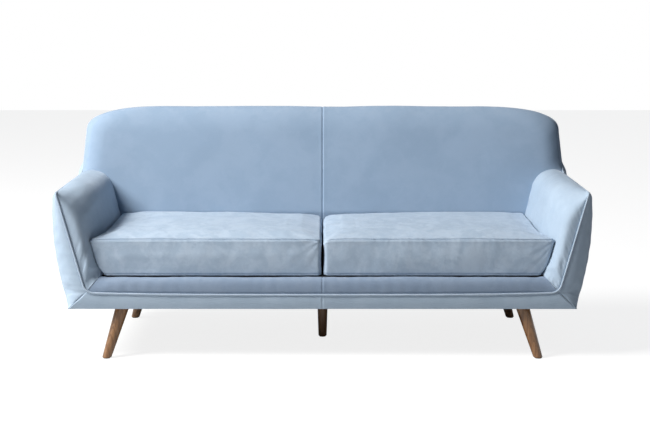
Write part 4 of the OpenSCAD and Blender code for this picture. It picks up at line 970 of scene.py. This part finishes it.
# %% Front border
def border_grid(rows=26):
    w = quarter(rows)[:, None]
    end = mix(corner_mid[0], bottom_corner_x, w) + 0.0004
    x = shares_across()[None] * end
    rise, turned = corner_rise(x)
    z = mix(rail_pipe_h + rise - 0.6 * seam_tuck / np.cos(turned), underside_h, w)
    to_end = end - np.abs(x)
    tuck = seam_valley(np.abs(x), 0.0012, 0.0003) - mitre_depth * line_at(to_end, mitre_w)
    soft = (waves(column(x, 0, z), 0.12, 0.0008, 81) + 0.0012 * np.sin(math.pi * w)
            + ripples(x, 0.05, 0.0010, 82) * fade(w, 0.25))
    groove = 0.0022 * fade(w, 0.10) * ease(to_end / 0.02)
    return column(x, front_edge_y(z) + groove - tuck - soft * ease(w / 0.1) * ease(to_end / 0.01), z)

inside = np.array([0, front_y + 0.1, 0.20])
strip = with_hem(border_grid(), np.array([0, 1.0, 0]))
border = cover_piece("front_border", strip, inside, sofa_cloth, thin_cloth)
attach(border, "root")
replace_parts(border, "front_border_left", "front_border_right")
show("front border", strip)

# %% Outer back
def outer_back_end(z):
    """Where the outer back ends, just inside the hem of the outer side."""
    return side_x(z) - 2 * pipe_r - 0.0035

def outer_back_grid():
    turn = np.linspace(0, math.pi / 2, 16)[:, None]
    u = np.sin(np.linspace(-math.pi / 2, math.pi / 2, 300))[None]
    first = top_corner_at(math.radians(wrap_degrees))[0] + 0.0015
    xt = np.abs(u) * first
    share = lim((xt - top_end[0]) / corner_w, 0, 1)
    round_top = corner_z + corner_h * (1 - share ** corner_power) ** (1 / corner_power)
    high = np.where(xt < top_end[0], back_pipe_h, round_top)
    risen = lim((high - corner_z) / corner_h, 0, 1) ** (corner_power / 2)
    deep = np.where(xt < top_end[0], top_pipe_y, mix(wing_top[1], top_pipe_y, risen))
    at_side = ease((np.abs(u) - 0.90) / 0.10)
    straight = turn / (math.pi / 2)
    upper_z = mix(high, rear_edge_h, mix(1 - np.cos(turn), straight, at_side))
    behind = mix(np.sin(turn), straight, at_side)
    hanging = mix(first, outer_back_end(rear_edge_h), behind)
    reach = mix(hanging, edge_x(upper_z) + 0.0015, at_side * (1 - behind ** 6))
    upper = column(u * reach, mix(deep + seam_tuck, outer_y(rear_edge_h), behind), upper_z)
    z = np.linspace(rear_edge_h, underside_h, 90)[1:, None]
    lower = column(u * outer_back_end(z), outer_y(z), z)
    return np.concatenate([upper, lower])

inside = np.array([0, 0.2, 0.5])
panel = outer_back_grid()
uneven = waves(panel, 0.35, 0.0014, 91) * ease((panel[..., 2] - underside_h) / 0.05)
hung = with_hem(pushed(panel, inside, uneven), np.array([0, -1.0, 0]))
outer_back = cover_piece("outer_back", hung, inside, sofa_cloth, thin_cloth)
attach(outer_back, "root")
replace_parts(outer_back, "outer_back_cover")
print("outer back", panel.shape, "deepest", panel[..., 1].max().round(4))

# %% [markdown]
# Piping
# Piping is a cord sewn into a strip of the same cloth. One tube follows the whole loop;
# at each point it gets a ring of points square to the path. The ring's size changes a
# little along the way, because the stitches pull on the cloth around the cord.

# %% Tube along the piping's path
def walked(loop, scale=1.0):
    """A closed loop that ends where it starts, and the way walked along it to each point."""
    closed = np.concatenate([loop, loop[:1]])
    steps = np.linalg.norm(np.diff(closed, axis=0) * scale, axis=1)
    return closed, np.concatenate([[0], np.cumsum(steps)])

def spread(loop, count, scale=1.0):
    """Points spread evenly round a closed loop, and how far along it each one lies."""
    closed, way = walked(loop, scale)
    at = np.linspace(0, way[-1], count, endpoint=False)
    return np.stack([np.interp(at, way, measure) for measure in closed.T], axis=-1), at

def tube(path, radius, sides=12):
    """A ring of points round each point of the path, square to it."""
    way = np.roll(path, -1, axis=0) - np.roll(path, 1, axis=0)
    way /= np.linalg.norm(way, axis=1, keepdims=True)
    across = np.cross(way, path - np.array([0, 0.05, 0.45]))
    across /= np.linalg.norm(across, axis=1, keepdims=True)
    up = np.cross(across, way)
    a = np.linspace(0, 2 * math.pi, sides, endpoint=False)[None, :, None]
    return path[:, None] + radius[:, None, None] * (np.cos(a) * across[:, None] + np.sin(a) * up[:, None])

ring_gap = 0.0035
path, along = spread(pipe_path, int(walked(pipe_path)[1][-1] / ring_gap))
rings = tube(path, pipe_r * (1 + 0.05 * np.sin(2 * math.pi * along / 0.0095) + 0.05 * np.sin(along / 0.021)))
rows, sides = rings.shape[:2]
faces = grid_faces(rows + 1, sides, closed=True) % (rows * sides)
# The piping's slightly darker copy of the cover is painted shade.
pipe = mesh_piece("piping_cord", rings.reshape(-1, 3), faces, piping_cloth)
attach(pipe, "root")
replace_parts(pipe, "piping")
print("piping rings", rows)

# %% [markdown]
# Legs
# The five legs are turned from walnut: a plain cone with a softly rounded foot. The
# corner legs splay out, so a level cut through one is a slightly long ellipse. We
# make rings at rising heights and let the lowest ones shrink on a small arc.

# %% Legs turned from walnut
leg_top_z, glide_h = 0.1773, 0.002
leg_foot_r, leg_top_r, centre_top_r = 0.0155, 0.0240, 0.0210
leg_splay = math.radians(16.8)
foot_arc = 0.0035

def leg(name, foot_x_at, foot_y_at, lean_x, lean_y, top_r, sides=48, rows=44):
    """A leg that rises from its foot and leans towards lean_x and lean_y."""
    cone = np.linspace(glide_h + foot_arc, leg_top_z, rows)[1:]
    z = np.concatenate([glide_h + foot_arc * quarter(10), cone])
    arc = foot_arc * (1 - rnd((z - glide_h) / foot_arc))
    radius = mix(leg_foot_r, top_r, z / leg_top_z) - arc
    lean = math.tan(leg_splay)
    long = math.hypot(1, lean * math.hypot(lean_x, lean_y))
    turn = math.atan2(lean_y, lean_x)
    a = np.linspace(0, 2 * math.pi, sides, endpoint=False)[None]
    u, v = long * np.cos(a) * radius[:, None], np.sin(a) * radius[:, None]
    x = foot_x_at + lean_x * lean * z[:, None] + u * math.cos(turn) - v * math.sin(turn)
    y = foot_y_at + lean_y * lean * z[:, None] + u * math.sin(turn) + v * math.cos(turn)
    rings = column(x, y, z[:, None]).reshape(-1, 3)
    ends = [rings[:sides].mean(axis=0), rings[-sides:].mean(axis=0)]
    piece = mesh_piece(name, np.concatenate([rings, ends]), capped_faces(len(z), sides), leg_wood)
    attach(piece, "root")
    return piece

front_foot, rear_foot = (0.772, -0.403), (0.754, 0.330)
for sign, word in side_word.items():
    front = leg("front_leg_turned_" + word, sign * front_foot[0], front_foot[1], -sign, 1, leg_top_r)
    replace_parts(front, "front_leg_" + word)
    rear = leg("rear_leg_turned_" + word, sign * rear_foot[0], rear_foot[1], -sign, -1, leg_top_r)
    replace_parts(rear, "rear_leg_" + word)
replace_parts(leg("centre_leg_turned", 0, -0.030, 0, 0, centre_top_r), "centre_leg")
print("legs", 5, "splay", math.degrees(leg_splay))

# %% [markdown]
# The deck
# Under the loose cushions lies the deck: a thin pad on webbing with a plain lining cloth
# over it. It sags a little between the straps. Nobody sees it until a cushion is
# lifted, but it is there, with its edges tucked in all round.

# %% Deck under the cushions
strap_gap = 0.19

def deck_grid():
    y = mix(deck_y + 0.0025, back_face_y - 0.0015, np.linspace(0, 1, 120))[:, None]
    u = np.linspace(-1, 1, 260)[None]
    end = arm_foot_x(y) - 0.0025
    x = u * end
    to_edge = np.minimum(np.minimum(y - y[0], y[-1] - y), end - np.abs(x))
    straps = 0.5 + 0.5 * np.cos(2 * math.pi * x / strap_gap)
    uneven = 0.0006 * (1 + waves(column(x, y, 0), 0.11, 1.0, 95))
    sag = 0.0012 + 0.0018 * (1 - straps) * ease(to_edge / 0.06) + uneven
    return column(x, y, deck_h - sag - 0.004 * line_at(to_edge, 0.004))

deck = cover_piece("deck", deck_grid(), np.array([0, -0.1, 0.1]), lining, 0.004)
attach(deck, "root")
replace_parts(deck, "deck_pad", "deck_cover")
print("deck", len(deck.data.vertices))

# %% [markdown]
# Seat cushions
# A seat cushion is a foam core in a boxed cover: a top and a bottom panel with a band
# between them. We start from a slightly small box with the right plan, blow it up
# with a short cloth simulation, so that it gets the swell of real filling, and then
# sew it: the seams, stitches and puckers are small offsets after the simulation.

# %% Plan of a cushion
seat_y0, seat_y1 = front_y + 0.046, back_face_y - 0.007
seat_z = deck_h + 0.0003
seat_t = 0.134
seat_rise = 0.013
gap_x = 0.0012
side_gap = 0.003
clear_tuck = 0.0052
half_seat_w, half_seat_d = 0.40, 0.27

def arm_inner_x(y, z):
    """Inner face of the arm at a depth and a height."""
    low, high = np.full(np.shape(y), 0.30), np.full(np.shape(y), 1.0)
    for _ in range(24):
        t = (low + high) / 2
        at = arm_surface(t, y - front_edge_y(arm_edge(t)[1]), clear_tuck)[..., 2]
        low, high = np.where(at > z, t, low), np.where(at > z, high, t)
    return arm_surface(low, y - front_edge_y(arm_edge(low)[1]), clear_tuck)[..., 0]

def seat_point(u, v, w, inset=0.0):
    """u and v run from -1 to 1 across the plan and w from 0 to 1 up the band."""
    y = mix(seat_y0 + inset, seat_y1 - inset, (v + 1) / 2)
    z = seat_z + inset + (seat_t + seat_rise * (v + 1) / 2 - 2 * inset) * w
    x = mix(gap_x + inset, arm_inner_x(y, z) - side_gap - inset, (u + 1) / 2)
    return column(x, y, z)

print("cushion", (arm_inner_x(np.array(seat_y0), np.array(0.35)) - gap_x).round(3), "wide at the front")

# %% Box that the simulation starts from
edge_r, box_w = 0.015, 0.74

def start_box(inset):
    """Six sides with round edges, as a grid round the plan and rings up the band."""
    def arc(centre_u, centre_v, a0, ru, rv):
        a = np.radians(np.linspace(a0, a0 + 90, 6))
        return [(centre_u + ru * math.cos(k), centre_v + rv * math.sin(k)) for k in a]
    ru, rv = 2 * edge_r / box_w, 2 * edge_r / (seat_y1 - seat_y0)
    plan = arc(1 - ru, 1 - rv, 0, ru, rv) + arc(-1 + ru, 1 - rv, 90, ru, rv)
    plan += arc(-1 + ru, -1 + rv, 180, ru, rv) + arc(1 - ru, -1 + rv, 270, ru, rv)
    plan, _ = spread(np.array(plan), 160)
    a = np.linspace(0, math.pi / 2, 6)
    er = edge_r / seat_t
    shrink = edge_r * 2.7
    rings = [(1 - shrink * (1 - math.sin(k)), er * (1 - math.cos(k))) for k in a]
    rings += [(1.0, w) for w in np.linspace(er, 1 - er, 8)[1:-1]]
    rings += [(1 - shrink * (1 - math.sin(k)), 1 - er * (1 - math.cos(k))) for k in a[::-1]]
    rings = [(s, rings[0][1]) for s in np.linspace(0.1, rings[0][0], 8)[:-1]] + rings
    rings += [(s, rings[-1][1]) for s in np.linspace(rings[-1][0], 0.1, 8)[1:]]
    points = np.concatenate([seat_point(plan[:, 0] * s, plan[:, 1] * s, np.full(len(plan), w), inset)
                             for s, w in rings])
    faces = list(grid_faces(len(rings), len(plan), closed=True))
    faces += [tuple(range(len(plan)))[::-1], tuple(len(points) - len(plan) + k for k in range(len(plan)))]
    return points, faces

box_points, box_faces = start_box(0.004)
print("start box", len(box_points), "points")

# %% Blow the box up with a short cloth simulation
def blow_up(points, faces, voxel=0.006, pressure=4.0, frames=20):
    """Returns the points of the box after a remesh, and how far the cloth moved each of them."""
    pad = mesh_piece("filling", points, faces, padding)
    remesh = pad.modifiers.new("remesh", "REMESH")
    remesh.mode = "VOXEL"
    remesh.voxel_size = voxel
    pad.data = bpy.data.meshes.new_from_object(pad.evaluated_get(bpy.context.evaluated_depsgraph_get()))
    pad.modifiers.clear()
    start = np.empty(3 * len(pad.data.vertices))
    pad.data.vertices.foreach_get("co", start)
    cloth = pad.modifiers.new("cloth", "CLOTH")
    cloth.settings.use_pressure = True
    cloth.settings.uniform_pressure_force = pressure
    cloth.settings.effector_weights.gravity = 0
    for frame_number in range(1, frames + 1):
        bpy.context.scene.frame_set(frame_number)
    blown = pad.evaluated_get(bpy.context.evaluated_depsgraph_get()).to_mesh()
    end = np.empty_like(start)
    blown.vertices.foreach_get("co", end)
    bpy.data.objects.remove(pad)
    bpy.context.scene.frame_set(1)
    start, end = start.reshape(-1, 3), end.reshape(-1, 3)
    return start, end - start

sim_start, sim_move = blow_up(box_points, box_faces)
print("simulated", len(sim_start), "points, moved up to", np.linalg.norm(sim_move, axis=1).max().round(4))

# %% Rows and columns of the sewn cushion
seat_crown = 0.018

def seat_plan(count=560):
    """Points from -1 to 1 round the plan, and the way in metres along its edge to each one."""
    half, corner_r = 0.5, 0.016
    width, depth = 2 * half_seat_w, seat_y1 - seat_y0
    ru, rv = corner_r / width, corner_r / depth
    loop = []
    for k, (cu, cv) in enumerate([(1, 1), (-1, 1), (-1, -1), (1, -1)]):
        for a in np.radians(np.linspace(90 * k, 90 * k + 90, 14)):
            loop.append((cu * (half - ru) + ru * math.cos(a), cv * (half - rv) + rv * math.sin(a)))
    points, along = spread(np.array(loop), count, [width, depth])
    return 2 * points, along

# %% Skin of the sewn cushion
def sewn_seat():
    plan, along = seat_plan()
    steps = np.linspace(0.03, 1, 46) ** 0.8
    inner = (1 - edge_r * 2.5) * steps
    turn = np.linspace(0, math.pi / 2, 22)
    sharp = 0.7 * edge_r
    low_inner = (1 - sharp * 2.5) * steps
    rows = [(s, 0.0) for s in low_inner[:-1]]
    rows += [(mix(low_inner[-1], 1, math.sin(k)), sharp / seat_t * (1 - math.cos(k))) for k in turn]
    rows += [(1.0, w) for w in np.linspace(sharp / seat_t, 1 - edge_r / seat_t, 30)[1:-1]]
    rows += [(mix(inner[-1], 1, math.sin(k)), 1 - edge_r / seat_t * (1 - math.cos(k))) for k in turn[::-1]]
    rows += [(s, 1.0) for s in inner[-2::-1]]
    scale = np.array([s for s, _ in rows])[:, None]
    w = np.array([h for _, h in rows])[:, None]
    grid = seat_point(plan[None, :, 0] * scale, plan[None, :, 1] * scale, w)
    return grid, plan[None] * scale[..., None], np.broadcast_to(w, grid.shape[:2]), along

seat, seat_uv, seat_w, seat_along = sewn_seat()
print("sewn cushion", seat.shape)

# %% Swell that the simulation gave
def simulated(grid):
    tree = KDTree(len(sim_start))
    for k, point in enumerate(sim_start):
        tree.insert(point, k)
    tree.balance()
    move = np.zeros_like(grid).reshape(-1, 3)
    for k, point in enumerate(grid.reshape(-1, 3)):
        near = tree.find_n(point, 12)
        weight = np.array([1 / (far + 0.01) for _, _, far in near])
        move[k] = weight @ sim_move[[index for _, index, _ in near]] / weight.sum()
    return move.reshape(grid.shape)

# %% Swell of the cushion
def swell_of(grid, uv, w):
    """How far each point moves: the simulation's swell, kept inside the seat, and a soft crown."""
    move = simulated(grid)
    crown = np.maximum(1 - uv[..., 0] ** 2, 0) ** 0.7 * np.maximum(1 - uv[..., 1] ** 2, 0) ** 0.7
    rise = np.clip(move[..., 2], 0, 0.030) * 0.35 + (seat_crown - 0.006) * crown
    up = ease((w - 0.5) / 0.5)
    from_middle = half_seat_w * (1 + uv[..., 0])
    slope = 0.010 * (uv[..., 0] + 1) / 2 * ease((uv[..., 1] + 1) / 2) - 0.012 * (1 - rnd(from_middle / 0.045))
    bulge = 0.006 * np.tanh(move[..., :2] / 0.012)
    middle = np.sin(math.pi * lim(w, 0, 1))
    x = bulge[..., 0] * middle * 0.25
    belly = 0.005 * middle * (1 - uv[..., 0] ** 2) * (uv[..., 1] < -0.8)
    y = bulge[..., 1] * middle * np.where(uv[..., 1] < 0, 0.3, 0.1) - belly
    x = x + 0.0035 * np.sin(math.pi * lim(w, 0, 1) ** 0.8) * (uv[..., 0] < -0.98)
    return column(x, y, (rise + slope) * up)

seat = seat + swell_of(seat, seat_uv, seat_w)
print("cushion top", seat[..., 2].max().round(4), "front", seat[..., 1].min().round(4))

# %% [markdown]
# Sewing the cushion
# Three kinds of line make a cushion look sewn. The seam itself is a narrow valley
# between two soft lips. Beside it run two rows of stitches, each a shallow groove with
# small dimples. And where a seam ends in a corner, the cloth gathers in short folds
# that point at the corner.

# %% Seams, stitches and folds of a cushion
stitch_gap, stitch_w, stitch_step = 0.0075, 0.0013, 0.0065

def seat_folds(uv, w, along, seed):
    rest = seat_point(uv[..., 0], uv[..., 1], w)
    top = seat_t * (1 - w)
    low = seat_t * w
    inset = np.minimum(half_seat_w * (1 - np.abs(uv[..., 0])), half_seat_d * (1 - np.abs(uv[..., 1])))
    across = top - inset
    seam = seam_valley(np.abs(across), 0.0032, 0.0012)
    dimple = 0.6 + 0.4 * np.cos(2 * math.pi * along / stitch_step)
    two_rows = line_at(across - stitch_gap, stitch_w) + line_at(across + stitch_gap, stitch_w)
    stitches = -0.0011 * dimple * two_rows
    from_seam = np.abs(across)
    gathers = ripples(along, 0.016, 0.0010, seed) * fade(from_seam, 0.014) * ease(from_seam / 0.003)
    lip_at = low - inset
    lip = 0.0016 * line_at(lip_at, 0.0018) - 0.0014 * line_at(lip_at - 0.005, 0.0030)
    folds = 0
    for k, (cu, cv) in enumerate([(-1, -1), (1, -1), (1, 1), (-1, 1)]):
        dx, dy = half_seat_w * (uv[..., 0] - cu), half_seat_d * (uv[..., 1] - cv)
        far = np.sqrt(dx ** 2 + dy ** 2 + (0.8 * top) ** 2)
        angle = np.arctan2(0.8 * top + np.abs(dy), np.abs(dx) + 0.004)
        fan = ripples(angle * 0.05, 0.020, 0.0021, seed + 3 + k, 1.4)
        folds = folds + fan * fade(far, 0.055) * ease(far / 0.01)
    broad = waves(rest, 0.15, 0.0011, seed + 1) + waves(rest, 0.045, 0.0003, seed + 2)
    return seam + stitches + gathers + lip + folds + broad * ease(low / 0.03)

# %% The two cushions
def cushion_piece(side, seed):
    word = side_word[side]
    middle = seat.reshape(-1, 3).mean(axis=0)
    skin = pushed(seat, middle, seat_folds(seat_uv, seat_w, seat_along[None], seed))
    skin[..., 0] = np.maximum(skin[..., 0], gap_x / 2)
    skin[..., 1] = np.minimum(skin[..., 1], seat_y1 + 0.0003)
    skin[..., 2] = np.maximum(skin[..., 2], seat_z)
    faces = capped_faces(*skin.shape[:2])
    ends = np.array([skin[0].mean(axis=0), skin[-1].mean(axis=0)])
    points = np.concatenate([skin.reshape(-1, 3), ends]) * [side, 1, 1]
    if side < 0:
        faces = [f[::-1] for f in faces]
    piece = mesh_piece("cushion_" + word, points, faces, cushion_cloth)
    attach(piece, word + "_cushion")
    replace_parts(piece, "cushion_cover_" + word, "cushion_base_" + word, "cushion_core_" + word)
    return piece

cushions = [cushion_piece(1, 101), cushion_piece(-1, 131)]
print("cushions", [len(cushion.data.vertices) for cushion in cushions])

# %% [markdown]
# Zip teeth
# The cover closes with a zip at the rear, on a woven tape. The tape and the slider come
# from the CAD model; the teeth are small blocks in two rows that mesh like a comb.

# %% Teeth along the zips
tooth_w, tooth_d, tooth_h, tooth_shift = 0.0018, 0.0011, 0.0044, 0.0008
block_faces = ((0, 1, 3, 2), (4, 6, 7, 5), (0, 4, 5, 1), (2, 3, 7, 6), (0, 2, 6, 4), (1, 5, 7, 3))

def zip_teeth(side, from_x=0.155, to_x=0.625, pitch=0.0050):
    word = side_word[side]
    corners, faces = [], []
    for k, x in enumerate(np.arange(from_x, to_x, pitch / 2)):
        mid_z = seat_z + seat_t / 2 + (tooth_shift if k % 2 else -tooth_shift)
        n = len(corners)
        corners += [(side * (x + dx), seat_y1 + 0.0005 + dy, mid_z + dz)
                    for dx in (-tooth_w / 2, tooth_w / 2) for dy in (0, tooth_d)
                    for dz in (-tooth_h / 2, tooth_h / 2)]
        faces += [tuple(n + i for i in face) for face in block_faces]
    piece = mesh_piece("zip_teeth_" + word, corners, faces, steel)
    piece.data.polygons.foreach_set("use_smooth", [False] * len(faces))
    edge = piece.modifiers.new("soft edges", "BEVEL")
    edge.width = 0.0003
    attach(piece, word + "_cushion")
    print("teeth", word, len(faces) // len(block_faces))

zip_teeth(1)
zip_teeth(-1)

# %% [markdown]
# Floor, light and camera
# The photograph is a studio picture: a white sweep, one big soft light from the front
# left, and weak, slightly cool fill from the rest of the room. The floor is a pale
# plane that glows white towards the camera, with just enough plain shading left to
# take the shadow under the sofa.

# %% Floor and backdrop
glow_level, glow_share = 1.39, 0.60

def floor_material():
    made, tree, shader, _ = material("studio_floor")
    shader.inputs["Base Color"].default_value = (0.66, 0.66, 0.66, 1)
    shader.inputs["Roughness"].default_value = 0.9
    glow = tree.nodes.new("ShaderNodeEmission")
    glow.inputs["Color"].default_value = (1, 1, 1, 1)
    glow.inputs["Strength"].default_value = glow_level
    path_kind = tree.nodes.new("ShaderNodeLightPath")
    share = math_node(tree, "MULTIPLY", path_kind.outputs["Is Camera Ray"], glow_share)
    both = tree.nodes.new("ShaderNodeMixShader")
    tree.links.new(share, both.inputs[0])
    tree.links.new(shader.outputs[0], both.inputs[1])
    tree.links.new(glow.outputs[0], both.inputs[2])
    out = next(n for n in tree.nodes if n.type == "OUTPUT_MATERIAL")
    tree.links.new(both.outputs[0], out.inputs[0])
    return made

floor_corners = [(-9, -8, 0), (9, -8, 0), (9, 12, 0), (-9, 12, 0)]
floor = mesh_piece("studio_floor", floor_corners, [(0, 1, 2, 3)], floor_material())
print("floor corners", floor_corners)

# %% Light
def soft_light(name, place, aim, size, power, colour):
    lamp = bpy.data.lights.new(name, "AREA")
    lamp.shape = "RECTANGLE"
    lamp.size, lamp.size_y = size
    lamp.energy = power
    lamp.color = colour
    holder = bpy.data.objects.new(name, lamp)
    holder.location = place
    holder.rotation_euler = (Vector(aim) - Vector(place)).to_track_quat("-Z", "Y").to_euler()
    bpy.context.scene.collection.objects.link(holder)
    print(name, "at", place, "with", power, "W")

soft_light("key_light", (-4.5, -1.7, 4.7), (0, 0, 0.4), (3.0, 3.0), 700, (1.0, 0.985, 0.965))

# %% World
fill_level, fill_colour = 0.06, (0.80, 0.93, 1.18, 1)
world = bpy.data.worlds.new("studio")
world.use_nodes = True
tree = world.node_tree
sky = next(n for n in tree.nodes if n.type == "BACKGROUND")
kind = tree.nodes.new("ShaderNodeLightPath")
seen = math_node(tree, "MAXIMUM", kind.outputs["Is Camera Ray"], kind.outputs["Is Transmission Ray"])
seen = math_node(tree, "MAXIMUM", seen, kind.outputs["Is Glossy Ray"])
level = math_node(tree, "ADD", math_node(tree, "MULTIPLY", seen, 1 - fill_level), fill_level)
tree.links.new(mix_colour(tree, seen, fill_colour, (1, 1, 1, 1)), sky.inputs["Color"])
tree.links.new(level, sky.inputs["Strength"])
bpy.context.scene.world = world
print("fill light", fill_level)

# %% Camera
look_down = 7.834
lens = bpy.data.cameras.new("camera")
lens.sensor_width = 36
lens.lens = 90.0
camera = bpy.data.objects.new("camera", lens)
camera.location = (0.0093, -6.0935, 1.2936)
camera.rotation_euler = (math.radians(90 - look_down), 0, 0)
bpy.context.scene.collection.objects.link(camera)
bpy.context.scene.camera = camera
bpy.context.scene.view_settings.view_transform = "Standard"
print("camera at", tuple(round(c, 2) for c in camera.location))
